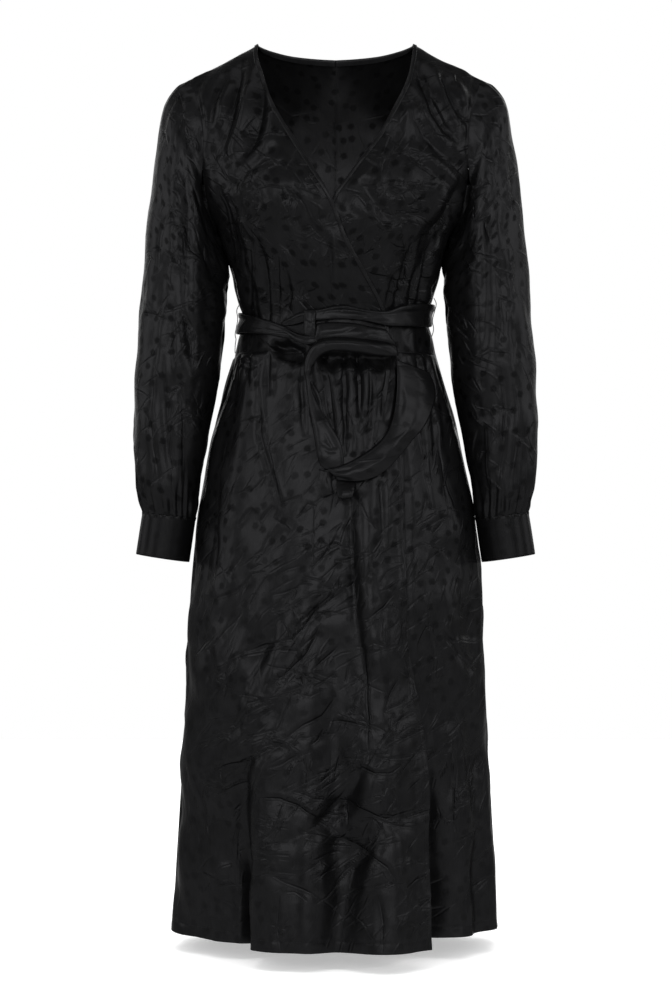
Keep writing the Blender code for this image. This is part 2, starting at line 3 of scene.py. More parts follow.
import bmesh
import bpy
import numpy as np
from mathutils import Matrix, Vector


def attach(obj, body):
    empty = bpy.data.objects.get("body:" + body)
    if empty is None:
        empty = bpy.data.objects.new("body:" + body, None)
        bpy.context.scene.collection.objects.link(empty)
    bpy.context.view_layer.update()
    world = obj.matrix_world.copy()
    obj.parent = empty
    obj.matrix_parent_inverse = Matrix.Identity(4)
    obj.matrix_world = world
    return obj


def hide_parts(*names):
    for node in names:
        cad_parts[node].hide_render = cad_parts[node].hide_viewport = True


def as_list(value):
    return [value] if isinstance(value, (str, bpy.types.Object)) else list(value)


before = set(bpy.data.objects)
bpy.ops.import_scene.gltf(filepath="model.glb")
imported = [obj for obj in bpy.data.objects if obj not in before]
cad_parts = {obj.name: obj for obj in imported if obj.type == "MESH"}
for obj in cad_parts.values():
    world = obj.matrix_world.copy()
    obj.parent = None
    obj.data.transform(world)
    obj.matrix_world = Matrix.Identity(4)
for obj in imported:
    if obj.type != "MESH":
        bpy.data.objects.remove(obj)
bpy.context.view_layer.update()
scene = bpy.context.scene
scene.view_settings.view_transform = "Standard"

# The dress faces -Y, +X is the wearer's left, and the neck points are at height 0.
# A place on the body form is a turn in degrees and a height. The turn is 0 at the centre front and 90 at the
# wearer's left.
cut = {
    "wrapLift": 0.0036,  # how far the lapping front lies off the one under it
    "neckHalf": 0.102,
    "shoulderTip": 0.1916,
    "shoulderSlope": 0.58,
    "shoulderEasing": 0.70,
    "shoulderRound": 0.12,
    "armholeTop": -0.0463,
    "underarm": -0.245,
    "waistSeam": -0.410,
    "hem": -1.162,
    "underHem": -1.156,
    "seamGap": 0.0003,
}


def inMetres(table):
    # sizes in a table are written in millimetres
    if isinstance(table, dict):
        return {key: inMetres(part) for key, part in table.items()}
    return type(table)(map(inMetres, table)) if isinstance(table, (list, tuple)) else table / 1000


# height, half width, depth in front, depth behind
formSections = inMetres([
    (60, 215, 70, 70), (0, 215, 85, 80), (-50, 214, 100, 90), (-100, 208, 115, 102), (-150, 197, 127, 108),
    (-200, 180, 136, 106), (-225, 169.5, 137.5, 103), (-245, 157.5, 136, 100), (-290, 140, 124, 92),
    (-325, 130.5, 108, 85), (-345, 125, 101, 82), (-361, 120, 98, 80), (-379, 124.5, 99, 82),
    (-410, 132.5, 103, 89), (-450, 144, 110, 101), (-500, 158, 118, 115), (-600, 177.8, 132, 133),
    (-700, 189.3, 143, 144), (-800, 194.5, 151, 151), (-900, 199, 158, 157), (-1000, 205, 165, 163),
    (-1100, 211, 173, 170), (-1170, 213, 179, 175),
])
# height, x of the edge
lappingNeckline = inMetres([
    (0, -102), (-30, -100), (-92.5, -80), (-147.6, -48.6), (-219, -5.6), (-268.5, 14.5), (-309.2, 37.4),
    (-346.6, 58.1), (-375.5, 65.9), (-410, 70.9),
])
underNeckline = inMetres([
    (0, 102), (-31, 98.5), (-61.7, 91.5), (-99, 74.3), (-137.9, 53.7), (-182.8, 20.8), (-218.7, -3.1),
    (-268.5, -20), (-320, -41), (-380, -60), (-410, -66),
])
wrapEdge = inMetres([
    (-410, 70.9), (-470, 76), (-548.7, 81.8), (-649.9, 85.2), (-765.5, 88.7), (-825, 98.5), (-901.6, 112.7),
    (-970, 117), (-1170, 118.2),
])
underWrapEdge = inMetres([
    (-410, -66), (-650, -74), (-1170, -80),
])
# x, height
backNeckline = inMetres([
    (0, -6), (30, -5.9), (60, -5), (83, -2.6), (102, 0),
])
# height, x in front, x behind
armholeEdge = inMetres([
    (-46.3, 191.6, 191.6), (-63, 186, 187.8), (-88, 177, 182.5), (-120, 171, 178.5), (-150, 170.5, 177),
    (-178, 171, 174.5), (-206, 167, 169), (-229, 161.5, 161.5), (-245, 157.5, 157.5),
])


def smoothThrough(values, places, fine):
    # values at the fine places, on smooth curves through the given ones
    extra = (1,) * (values.ndim - 1)
    low = np.maximum(np.arange(len(places)) - 1, 0)
    high = np.minimum(np.arange(len(places)) + 1, len(places) - 1)
    slopes = (values[high] - values[low]) / (places[high] - places[low]).reshape((-1,) + extra)
    i = np.clip(np.searchsorted(places, fine) - 1, 0, len(places) - 2)
    span = places[i + 1] - places[i]
    t = ((fine - places[i]) / span).reshape(np.shape(fine) + extra)
    span = span.reshape(np.shape(fine) + extra)
    return ((1 + 2 * t) * (1 - t) ** 2 * values[i] + t * (1 - t) ** 2 * span * slopes[i]
            + t * t * (3 - 2 * t) * values[i + 1] + t * t * (t - 1) * span * slopes[i + 1])


class Curve:
    # a smooth curve through the rows of a table, read along the first column

    def __init__(self, rows):
        data = np.array(sorted(rows), float)
        self.places, self.values = data[:, 0], data[:, 1:]

    def at(self, place, column=0):
        return smoothThrough(self.values[:, column], self.places, np.asarray(place, float))


form = Curve(formSections)
armhole = Curve(armholeEdge)


def ramp(value, start, end):
    t = np.clip((np.asarray(value, float) - start) / (end - start), 0, 1)
    return t * t * (3 - 2 * t)


def shoulderHeight(x):
    out = np.abs(x) - cut["neckHalf"]
    return -cut["shoulderSlope"] * out + cut["shoulderEasing"] * out * out


def depthSquared(x, height, inFront):
    depth = np.where(inFront, form.at(height, 1), form.at(height, 2))
    drop = shoulderHeight(x) - height
    rounding = 1 - (1 - np.minimum(drop / cut["shoulderRound"], 1)) ** 2
    return depth ** 2 * (1 - (x / form.at(height, 0)) ** 2) * rounding


def formDepth(x, height, inFront=True):
    return np.sqrt(np.maximum(depthSquared(x, height, inFront), 0))


def formPoint(turn, height):
    angle = np.radians(turn)
    inFront = np.cos(angle) > 1e-9
    x = form.at(height, 0) * np.sin(angle)
    y = formDepth(x, height, inFront) * np.where(inFront, -1, 1)
    step = 0.0005
    across = depthSquared(x + step, height, inFront) - depthSquared(x - step, height, inFront)
    up = depthSquared(x, height + step, inFront) - depthSquared(x, height - step, inFront)
    normal = np.stack([-across / (2 * step), 2 * y, -up / (2 * step)], axis=-1)
    normal /= np.linalg.norm(normal, axis=-1, keepdims=True)
    return np.stack([x, y, height + 0 * x], axis=-1), normal


def turnAt(x, height):
    return np.degrees(np.arcsin(np.clip(x / form.at(height, 0), -1, 1)))


def wrapLift(turn, height):
    return cut["wrapLift"] * ramp(turn, -64, -40) * ramp(-height, 0.130, 0.200)


def softNoise(u, v, size, seed):
    # smooth bumps about `size` metres across, between about -1 and 1
    angles = np.random.RandomState(seed).rand(64, 64) * 2 * math.pi
    x, y = u / size, v / size
    cellX, cellY = np.floor(x).astype(int), np.floor(y).astype(int)
    x, y = x - cellX, y - cellY

    def corner(stepX, stepY):
        angle = angles[(cellX + stepX) % 64, (cellY + stepY) % 64]
        return np.cos(angle) * (x - stepX) + np.sin(angle) * (y - stepY)

    fadeX, fadeY = x * x * x * (x * (6 * x - 15) + 10), y * y * y * (y * (6 * y - 15) + 10)
    low = corner(0, 0) * (1 - fadeX) + corner(1, 0) * fadeX
    high = corner(0, 1) * (1 - fadeX) + corner(1, 1) * fadeX
    return 1.5 * (low * (1 - fadeY) + high * fadeY)


def facets(u, v, size, seed):
    # flat facets about `size` across at random heights, -1 to 1, that meet in crisp folds
    heights = np.random.RandomState(seed).uniform(-1, 1, (64, 64))
    x = u / size + 0.42 * softNoise(u, v, size * 1.3, seed + 1)
    y = v / size + 0.42 * softNoise(u, v, size * 1.3, seed + 2)
    x = x + 0.5 * y
    cellX, cellY = np.floor(x).astype(int), np.floor(y).astype(int)
    x, y = x - cellX, y - cellY

    def corner(stepX, stepY):
        return heights[(cellX + stepX) % 64, (cellY + stepY) % 64]

    near = corner(0, 0) * (1 - x - y) + corner(1, 0) * x + corner(0, 1) * y
    far = corner(1, 1) * (x + y - 1) + corner(0, 1) * (1 - x) + corner(1, 0) * (1 - y)
    return np.where(x + y < 1, near, far)


def crumple(u, v, size, seed):
    # in metres: soft swells of crushed satin with crisp facets of two sizes between calmer places
    leanU, leanV = 0.82 * u + 0.57 * v, 0.57 * u - 0.82 * v
    calm = 0.25 + 0.75 * ramp(softNoise(u + 9, v, size * 3.0, seed + 5), -0.15, 0.45)
    large = facets(leanU * 1.2, leanV * 0.75, size, seed)
    small = facets(leanV * 1.1 + 3, leanU * 0.8, size * 0.50, seed + 7)
    swells = softNoise(u, v * 0.8, size * 1.5, seed + 6)
    return size * (0.085 * swells + calm * (0.068 * large + 0.026 * small))


hollow = {
    # the cloth sinks in beside the knot of the belt: the middle and half size of the place, how deep it is
    # and how high the lip beside it
    "middle": (-0.057, -0.4110),
    "half": (0.021, 0.0165),
    "depth": 0.019,
    "lip": 0.0022,
    "rough": (0.30, 0.012, 95),  # how ragged its edge is, the size of the raggedness and its seed
    # and below the roll of the belt: x where that starts and ends, and how far down it deepens and ends
    "from": (-0.028, -0.012),
    "to": (0.064, 0.078),
    "top": (0.406, 0.416),
    "bottom": (0.417, 0.438),
    "depthBelow": 0.0135,
    "roughBelow": (0.006, 0.012, 96),
}
pressed = {"height": -0.364, "reach": 0.020, "strength": 0.6}


def beltHollow(points):
    x, y, height = np.moveaxis(points, -1, 0)
    across = (x - hollow["middle"][0]) / hollow["half"][0]
    up = (height - hollow["middle"][1]) / hollow["half"][1]
    rough, size, seed = hollow["rough"]
    near = 1 - ramp(np.hypot(across + 0.25 * up, up) + rough * softNoise(x, height, size, seed), 0.55, 1.10)
    lip = np.exp(-((across + 1.20 + 0.25 * up) / 0.25) ** 2 - (up + 0.2) ** 2)
    relief = hollow["lip"] * lip - hollow["depth"] * near * (0.6 + 0.4 * np.clip(up, -1, 1))
    rough, size, seed = hollow["roughBelow"]
    below = ramp(x, *hollow["from"]) * (1 - ramp(x, *hollow["to"])) * ramp(-height, *hollow["top"])
    below *= 1 - ramp(rough * softNoise(x, y, size, seed) - height, *hollow["bottom"])
    return (relief - hollow["depthBelow"] * below) * (y < 0)


def pressedByBelt(height):
    return 1 - pressed["strength"] * np.exp(-((height - pressed["height"]) / pressed["reach"]) ** 4)


def turnedAway(outward):
    # 0 at the sides of the dress, where a crease placed by its x would be drawn out, 1 in front and behind
    return ramp(np.abs(outward[..., 1]), 0.12, 0.45)


def strayCreases(area, count, lean, seed, length, width, depth):
    # short crooked creases in an area of (lowest x, highest x, lowest height, highest height), all in metres:
    # how many, which way they lean in degrees, the seed, and their size
    draw = np.random.RandomState(seed)
    rows = []
    for _ in range(count):
        x, height = draw.uniform(area[0], area[1]), draw.uniform(area[2], area[3])
        angle = math.radians(lean + draw.normal(0, 32))
        steps, places = draw.randint(2, 4), [(x, height)]
        for _ in range(steps):
            run = length / 2 * draw.uniform(0.4, 1.3)
            places.append((places[-1][0] + run * math.cos(angle), places[-1][1] + run * math.sin(angle)))
            angle += math.radians(draw.normal(0, 19))
        size = draw.uniform(0.45, 1.0) ** 2 + 0.25
        side = draw.choice([-0.7, 1.0, 1.0])
        rows.append((width * draw.uniform(0.7, 1.4), depth * size * side, *places))
    return rows


def eachCrease(x, height, rows, crisp):
    # for each row (a width, a depth and the points of one crease): which places are near it, how far aside
    # they are, plus on one side and minus on the other, how strong it is there, and its width and depth
    wander = 0.0016 if crisp else 0.0010
    pushX, pushHeight = (wander * softNoise(x, height, 0.026, seed) for seed in (91, 92))
    x, height = x + pushX, height + pushHeight
    for width, depth, *places in rows:
        line = np.array(places, float)
        fine = [line[0]]
        for i in range(len(line) - 1):
            before, after = line[max(i - 1, 0)], line[min(i + 2, len(line) - 1)]
            for t in (1.0,) if crisp else (0.25, 0.5, 0.75, 1.0):
                a = 2 * line[i]
                b = (line[i + 1] - before) * t
                c = (2 * before - 5 * line[i] + 4 * line[i + 1] - after) * t * t
                d = (3 * line[i] - before - 3 * line[i + 1] + after) * t ** 3
                fine.append((a + b + c + d) / 2)
        fine = np.array(fine)
        lengths = np.linalg.norm(np.diff(fine, axis=0), axis=1)
        reach = 5 * width
        low, high = fine.min(0) - reach, fine.max(0) + reach
        near = (x > low[0]) & (x < high[0]) & (height > low[1]) & (height < high[1])
        if not near.any():
            continue
        px, ph = x[near], height[near]
        best, aside, along = np.full(px.shape, 1e9), np.zeros(px.shape), np.zeros(px.shape)
        run = 0.0
        for i, length in enumerate(lengths):
            stepX, stepH = (fine[i + 1] - fine[i]) / length
            fromX, fromH = px - fine[i][0], ph - fine[i][1]
            t = np.clip(fromX * stepX + fromH * stepH, 0, length)
            away = np.hypot(fromX - t * stepX, fromH - t * stepH)
            closer = away < best
            best = np.where(closer, away, best)
            aside = np.where(closer, np.sign(stepX * fromH - stepH * fromX), aside)
            along = np.where(closer, (run + t) / lengths.sum(), along)
            run += length
        fade = np.sin(np.pi * np.clip(along, 0, 1)) ** 0.6 * (1 - ramp(best / width, 3, 5))
        yield near, best * aside, fade, width, depth


def creases(x, height, rows, crisp=True):
    # a crisp crease is a sharp fold whose cloth falls away quickly on one side and slowly on the other,
    # a soft one is a trough with raised lips
    out = np.zeros_like(x)
    for near, aside, fade, width, depth in eachCrease(x, height, rows, crisp):
        q = aside / width
        if crisp:
            away = np.sqrt(q * q + 0.02)
            profile = -np.exp(-away / np.where(q > 0, 0.62, 1.9)) + 0.22 * np.exp(-((q - 1.5) / 0.9) ** 2)
        else:
            profile = -1 / (1 + (1.6 * q) ** 2) ** 1.5 + 0.75 * np.exp(-((q - 1.5) / 0.8) ** 2)
            profile += 0.3 * np.exp(-((q + 1.9) / 1.0) ** 2)
        out[near] += depth * profile * fade
    return out


def creaseMarks(x, height, rows, calm):
    # how far each place is from the crease that matters most there, and that crease's strength: the material
    # draws its finest line along it
    marks = np.zeros(x.shape + (2,))
    marks[..., 0] = 1.0
    for near, aside, fade, width, depth in eachCrease(x, height, rows, True):
        strength = np.sqrt(np.abs(depth) * 0.0016) * fade * (1 - ramp(np.abs(aside), 0.004, 0.008))
        weight = strength * np.exp(-np.abs(aside) / 0.004)
        here = marks[near]
        heavier = weight > here[:, 1] * np.exp(-np.abs(here[:, 0]) / 0.004)
        marks[near] = np.where(heavier[:, None], np.stack([aside * np.sign(depth), strength], axis=1), here)
    marks[..., 1] *= calm
    return marks


def share(count):
    return np.arange(count + 1) / count


def gridNormals(points, outward):
    normals = np.cross(np.gradient(points, axis=0), np.gradient(points, axis=1))
    normals /= np.maximum(np.linalg.norm(normals, axis=2, keepdims=True), 1e-12)
    return normals * np.where((normals * outward).sum(2, keepdims=True) < 0, -1, 1)


def lengthsAlong(points):
    # how far each point is from the first, along the line of points
    return np.concatenate([[0], np.cumsum(np.linalg.norm(np.diff(points, axis=0), axis=1))])


def clothCoordinates(points, middle):
    # metres across and down the cloth, measured from the column in the middle
    steps = np.linalg.norm(np.diff(points, axis=1), axis=2)
    across = np.concatenate([np.zeros((len(points), 1)), np.cumsum(steps, axis=1)], axis=1)
    down = np.repeat(lengthsAlong(points[:, middle])[:, None], points.shape[1], axis=1)
    return np.stack([across - across[:, middle][:, None], -down], axis=2)


def edgeView(grid, side):
    # the grid turned so that the named edge is its last row
    if side in ("left", "right"):
        grid = np.swapaxes(grid, 0, 1)
    return grid[::-1] if side in ("top", "left") else grid


def viewedBack(grid, side):
    # undoes edgeView
    grid = grid[::-1] if side in ("top", "left") else grid
    return np.swapaxes(grid, 0, 1) if side in ("left", "right") else grid


def awayFromEdge(points):
    # how far each place of the grid is from its last row, measured along the cloth
    back = np.linalg.norm(np.diff(points[::-1], axis=0), axis=2)
    return np.concatenate([np.zeros((1, points.shape[1])), np.cumsum(back, axis=0)])[::-1]


def insetRows(grid, points, distances):
    # values of the grid at some distances in from the last row
    away, values = awayFromEdge(points)[::-1], grid[::-1]
    made = np.empty((len(distances),) + grid.shape[1:])
    for i in range(grid.shape[1]):
        for k in range(grid.shape[2]):
            made[:, i, k] = np.interp(distances, away[:, i], values[:, i, k])
    return made


def turnUnder(piece, side, width, rows, roll=0.0005):
    # folds an edge back inside, round a small roll
    points, normals, uv = (edgeView(piece[key], side) for key in ("points", "normals", "uv"))
    edge, normal = points[-1], normals[-1]
    onward = edge - points[-2]
    onward /= np.maximum(np.linalg.norm(onward, axis=1, keepdims=True), 1e-12)
    onward -= normal * (onward * normal).sum(1, keepdims=True)
    angles = np.radians([60, 120, 180])[:, None, None]
    rolled = edge + onward * roll * np.sin(angles) - normal * roll * (1 - np.cos(angles))
    distances = np.linspace(0, width, rows + 1)[1:]
    turned = insetRows(normals, points, distances)
    inside = insetRows(points, points, distances) - turned * 2 * roll
    uvStep = uv[-1] - uv[-2]
    uvStep /= np.maximum(np.linalg.norm(uvStep, axis=1, keepdims=True), 1e-12)
    steps = np.concatenate([roll * angles[:, 0, 0], roll * math.pi + distances])
    parts = {
        "points": np.concatenate([points, rolled, inside]),
        "normals": np.concatenate([normals, np.repeat(onward[None], 3, axis=0), -turned]),
        "uv": np.concatenate([uv, uv[-1][None] + uvStep[None] * steps[:, None, None]]),
    }
    if "marks" in piece:
        marks = edgeView(piece["marks"], side)
        parts["marks"] = np.concatenate([marks, np.zeros((3 + rows,) + marks.shape[1:])])
    for key, grid in parts.items():
        piece[key] = viewedBack(grid, side)


pieces = []


def meshFrom(bm, name):
    mesh = bpy.data.meshes.new(name)
    bm.to_mesh(mesh)
    bm.free()
    return mesh


def placed(name, data):
    thing = bpy.data.objects.new(name, data)
    scene.collection.objects.link(thing)
    return thing


def makeCloth(name, piece, material, slotName, *nodes):
    pieces.append(name)
    # no two pieces are cut from the same place of the cloth
    points, uv = piece["points"], piece["uv"] + np.array([0.173, 0.097]) * len(pieces)
    rows, columns = points.shape[:2]
    bm = bmesh.new()
    bmesh.ops.create_grid(bm, x_segments=columns - 1, y_segments=rows - 1, size=1)
    mesh = meshFrom(bm, name)
    mesh.vertices.foreach_set("co", points.reshape(-1).astype(np.float32))
    corners = np.empty(len(mesh.loops), np.int32)
    mesh.loops.foreach_get("vertex_index", corners)
    layer = mesh.uv_layers.new(name="cloth")
    layer.uv.foreach_set("vector", uv.reshape(-1, 2)[corners].reshape(-1).astype(np.float32))
    if "marks" in piece:
        for key, values in zip(("creaseAside", "creaseStrength"), np.moveaxis(piece["marks"], 2, 0)):
            stored = mesh.attributes.new(key, "FLOAT", "POINT")
            stored.data.foreach_set("value", values.reshape(-1).astype(np.float32))
    mesh.shade_smooth()
    mesh.update()
    made = placed(name, mesh)
    made.data.materials.append(material)
    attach(made, "root")
    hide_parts(*nodes)
    return made


def alongLine(values, lengths, place):
    return np.array([np.interp(place, lengths, values[:, k]) for k in range(3)])


stitch = {"pitch": 0.0033, "length": 0.0023, "thread": 0.00035}


def addStitches(name, lines, material):
    # a row of short raised stitches along each line of (points, normals)
    pitch, length, wide = stitch["pitch"], stitch["length"], stitch["thread"]
    bm = bmesh.new()
    for points, normals in lines:
        lengths = lengthsAlong(points)
        for place in np.arange(pitch, lengths[-1] - pitch, pitch):
            spot, up = alongLine(points, lengths, place), alongLine(normals, lengths, place)
            ahead = alongLine(points, lengths, place + 0.001)
            along = (ahead - spot) / max(np.linalg.norm(ahead - spot), 1e-9)
            aside = np.cross(up, along)
            aside /= max(np.linalg.norm(aside), 1e-9)
            up = np.cross(along, aside)
            centre = spot + up * wide * 0.3
            turned = [[along[k] * length, aside[k] * wide, up[k] * wide, centre[k]] for k in range(3)]
            bmesh.ops.create_cube(bm, size=1, matrix=Matrix([*turned, [0, 0, 0, 1]]))
    bmesh.ops.recalc_face_normals(bm, faces=bm.faces)
    mesh = meshFrom(bm, name)
    mesh.shade_smooth()
    made = placed(name, mesh)
    mesh.materials.append(material)
    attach(made, "root")
    return made


def stitchLine(piece, side, distance):
    # a line of stitches at some distance in from an edge: its points and the cloth's normals there
    points, normals = edgeView(piece["points"], side), edgeView(piece["normals"], side)
    return tuple(insetRows(grid, points, [distance])[0] for grid in (points, normals))


# Materials
def satin(name, changes):
    # black satin with woven dots: the ground shines a little, the dots are matt and darker
    look = {**looks, **changes}
    made = bpy.data.materials.new(name)
    made.use_nodes = True
    nodes, links = made.node_tree.nodes, made.node_tree.links

    def node(kind, output, inputs, **settings):
        # one output of a new node, with its inputs linked or set
        added = nodes.new("ShaderNode" + kind)
        for key, value in settings.items():
            setattr(added, key, value)
        for key, value in inputs.items():
            if isinstance(value, bpy.types.NodeSocket):
                links.new(value, added.inputs[key])
            else:
                added.inputs[key].default_value = value
        return added.outputs[output]

    def noise(vector, scale, detail, output="Fac"):
        return node("TexNoise", output, {"Vector": vector, "Scale": scale, "Detail": detail})

    def scaled(x, y, vector=None):
        return node("Mapping", "Vector", {"Vector": vector or place, "Scale": (x, y, 1)})

    def ranged(value, low, high, toLow, toHigh):
        ends = {"From Min": low, "From Max": high, "To Min": toLow, "To Max": toHigh}
        return node("MapRange", "Result", {"Value": value, **ends})

    def calculated(operation, a, b):
        return node("Math", 0, {0: a, 1: b}, operation=operation)

    def cells(vector, randomness):
        inputs = {"Vector": vector, "Scale": 1.0, "Randomness": randomness}
        return node("TexVoronoi", "Distance", inputs, voronoi_dimensions="2D")

    def stored(key):
        return node("Attribute", "Fac", {}, attribute_name=key)

    def foldStreaks(length, width, turn, shift):
        # thin straight fold lines of crushed satin with tapering ends, too fine for the mesh
        warp = noise(place, 22, 1, "Color")
        parts = {0: warp, 1: (0.012, 0.012, 0), 2: place}
        push = node("VectorMath", "Vector", parts, operation="MULTIPLY_ADD")
        turned = node("Mapping", "Vector", {"Vector": push, "Location": (shift, shift * 0.7, 0),
                                            "Rotation": (0, 0, math.radians(turn))})
        streaks = cells(scaled(1 / length, 1 / width, turned), 1.0)
        shown = ranged(noise(turned, 16, 1), 0.42, 0.60, 0, 1)
        return calculated("MULTIPLY", ranged(streaks, 0, 0.19, 1, 0), shown)

    place = node("UVMap", "UV", {}, uv_map="cloth")
    where = node("TexCoord", "Object", {})
    height, behind = (node("SeparateXYZ", axis, {"Vector": where}) for axis in ("Z", "Y"))

    # the dots have ragged edges, come and go a little and are fainter towards the hem
    spots = cells(scaled(1 / look["pitch"], 1 / look["pitch"]), look["scatter"])
    radius = look["dot"] / 2 / look["pitch"]
    ragged = calculated("ADD", spots, ranged(noise(scaled(1, 1), 260, 2), 0.3, 0.7, -0.045, 0.045))
    dots = calculated("MULTIPLY", ranged(ragged, radius * 0.70, radius * 1.22, 1, 0), look["dotStrength"])
    dots = calculated("MULTIPLY", dots, ranged(noise(scaled(1, 1), 9, 1), 0.38, 0.58, 0.6, 1.0))
    dots = calculated("MULTIPLY", dots, ranged(height, -0.90, -0.62, 0.45, 1.0))

    # colour and shine, uneven in soft patches and along the threads
    mottle, streak = noise(scaled(1, 0.6), 55, 3), noise(scaled(1, 0.08), 1100, 2)
    tone = calculated("ADD", ranged(mottle, 0.3, 0.7, 0.86, 1.14), ranged(streak, 0.3, 0.7, -0.10, 0.10))
    tone = calculated("MULTIPLY", tone, ranged(dots, 0, 1, 1, look["dotTone"]))
    colour = node("VectorMath", "Vector", {0: look["colour"], "Scale": tone}, operation="SCALE")
    rough = ranged(mottle, 0.3, 0.7, look["roughness"] - 0.03, look["roughness"] + 0.04)
    rough = calculated("ADD", rough, calculated("MULTIPLY", dots, look["dotRoughness"]))

    # fold lines and soft dents, calmer inside the back of the neck
    lines = calculated("SUBTRACT", foldStreaks(0.150, 0.0120, -34, 0.0), foldStreaks(0.100, 0.0110, -62, 0.7))
    lines = calculated("ADD", lines, calculated("MULTIPLY", noise(scaled(1, 0.8), 105, 2), look["soft"]))
    besideNeck = ranged(behind, -0.02, 0.02, 0, 1)
    besideNeck = calculated("MULTIPLY", besideNeck, ranged(height, -0.28, -0.22, 0, 0.85))
    lines = calculated("MULTIPLY", lines, ranged(besideNeck, 0, 1, 1, 0))

    # the sharp line of a listed crease, a ridge beside a valley
    aside = calculated("ABSOLUTE", calculated("SUBTRACT", stored("creaseAside"), 0.0014), 0.0)
    sharp = calculated("MULTIPLY", ranged(aside, 0.0, 0.0018, 1, 0), stored("creaseStrength"))

    weave = calculated("MULTIPLY", noise(scaled(1, 1.6), 2600, 1), 0.5)
    weave = calculated("ADD", weave, calculated("MULTIPLY", streak, 0.6))
    weave = calculated("SUBTRACT", weave, calculated("MULTIPLY", dots, 0.3))
    bumps = (sharp, 1.0, look["crisp"]), (lines, look["creased"], 0.0009), (weave, look["weave"], 0.0001)
    below = {}
    for relief, strength, distance in bumps:
        inputs = {"Height": relief, "Strength": strength, "Distance": distance, **below}
        below = {"Normal": node("Bump", "Normal", inputs)}

    shader = nodes["Principled BSDF"]
    for key, socket in (("Base Color", colour), ("Roughness", rough), ("Normal", below["Normal"])):
        links.new(socket, shader.inputs[key])
    shader.inputs["Metallic"].default_value = look["shine"]
    shader.inputs["Specular IOR Level"].default_value = look["gloss"]
    shader.inputs["Specular Tint"].default_value = (look["edgeTone"],) * 3 + (1,)
    return made


looks = {
    "colour": (0.0198, 0.0198, 0.0207),
    "shine": 0.66,
    "gloss": 0.10,
    "edgeTone": 0.35,
    "roughness": 0.32,
    "pitch": 0.0235,
    "scatter": 0.72,
    "dot": 0.0094,
    "dotStrength": 1.0,
    "dotTone": 0.46,
    "dotRoughness": 0.12,
    "weave": 0.35,
    "creased": 0.8,
    "soft": 0.35,
    "crisp": 0.42,
}
dottedSatin = satin("dottedSatin", {})
# a darker copy of the dotted satin for the bodice fronts: painted shade on the same cloth as the backs and
# skirt
frontSatinPaintedShade = satin("frontSatinPaintedShade", {"colour": (0.0170, 0.0170, 0.0178)})
cuffSatin = satin("cuffSatin", {
    "pitch": 0.034,
    "dotStrength": 0.6,
    "roughness": 0.30,
    "creased": 0.08,
    "soft": 0.2,
    "colour": (0.0145, 0.0145, 0.0151),
})
plainSatin = {"dotStrength": 0.0, "creased": 0.05}
edgeSatin = satin("edgeSatin", {**plainSatin, "colour": (0.0195, 0.0195, 0.0203)})
# a lighter copy of the edge satin for the band inside the back of the neck: painted light that makes the band
# show up there
neckBandSatinPaintedLight = satin("neckBandSatinPaintedLight", {**plainSatin, "shine": 0.5, "colour": (0.034, 0.034, 0.0354)})
beltSatin = satin("beltSatin", {
    "creased": 0.4,
    "pitch": 0.040,
    "dotStrength": 0.6,
    "roughness": 0.31,
    "colour": (0.0205, 0.0205, 0.0214),
})
thread = bpy.data.materials.new("sewingThread")
thread.use_nodes = True
threadShader = thread.node_tree.nodes["Principled BSDF"]
threadShader.inputs["Base Color"].default_value = (0.008, 0.008, 0.0085, 1)
threadShader.inputs["Roughness"].default_value = 0.55
threadShader.inputs["Specular IOR Level"].default_value = 0.25
print("materials made")


# Bodice
bodice = {
    "columns": 124,
    "armholeRows": 100,
    "sideRows": 84,
    "bust": (0.084, -0.206, 0.058, 0.009),  # x, height, reach, how far it stands out
    "crumple": 1.25,
    "crumpleSize": 0.034,
    # the back is calm behind the neck: how much, how far to the sides, and between which heights that grows
    "backCalm": (0.85, 0.100, -0.30, -0.24),
    "turnedIn": [("top", 0.008, 3), ("right", 0.008, 3), ("bottom", 0.008, 3)],  # side, width and rows
}
# how far in from an edge the cloth is calm: at a sewn seam and at the waist
calmAt = {"seam": 0.010, "waist": 0.004}
# each crease: width, depth, then its points as (x, height)
rightFrontCreases = inMetres([
    (3, 1.8, (-121, -40), (-130, -78), (-143, -125), (-158, -160)),
    (2.8, 1.6, (-112, -60), (-120, -104), (-136, -146), (-152, -176)),
    (3.2, 1.8, (-152, -60), (-160, -95), (-167, -125)),
    (5.5, 3, (-152, -196), (-142, -240), (-128, -300)),
    (4.6, 2.5, (-138, -205), (-124, -250), (-116, -320)),
    (3.7, 1.6, (-118, -212), (-85, -205), (-50, -214)),
    (3.2, 1.4, (-100, -180), (-80, -172), (-62, -184)),
    (4.6, 3, (-112, -262), (-106, -300), (-102, -345)),
    (4.1, 2.8, (-94, -272), (-90, -310), (-84, -350)),
    (4.1, 2.5, (-72, -285), (-72, -315), (-68, -350)),
    (2.8, 1.4, (-60, -262), (-40, -270), (-22, -262)),
    (2.9, 1.6, (-8, -298), (-6, -320), (-5, -345)),
    (2.6, 1.1, (-40, -225), (-28, -250), (-10, -270)),
    (2.6, 1.1, (0, -262), (15, -290), (22, -330)),
])
leftFrontCreases = inMetres([
    (3, 1.8, (112, -44), (122, -82), (139, -118), (160, -144)),
    (2.8, 1.6, (103, -88), (117, -125), (138, -152), (160, -165)),
    (3.2, 1.8, (146, -70), (158, -95), (166, -115)),
    (5.5, 3, (156, -200), (140, -236), (118, -262)),
    (4.6, 2.8, (148, -226), (132, -262), (112, -300)),
    (3.7, 1.6, (45, -208), (80, -200), (116, -214)),
    (3.2, 1.4, (70, -165), (92, -160), (110, -172)),
    (4.6, 3, (122, -268), (108, -300), (98, -340)),
    (4.1, 2.5, (86, -275), (88, -305), (86, -345)),
    (3.7, 2.1, (66, -290), (72, -315), (78, -345)),
    (2.8, 1.4, (40, -245), (60, -262), (85, -258)),
])
rightFrontCreases += strayCreases((-0.19, 0.03, -0.36, -0.06), 90, 30, 51, 0.026, 0.0030, 0.0014)
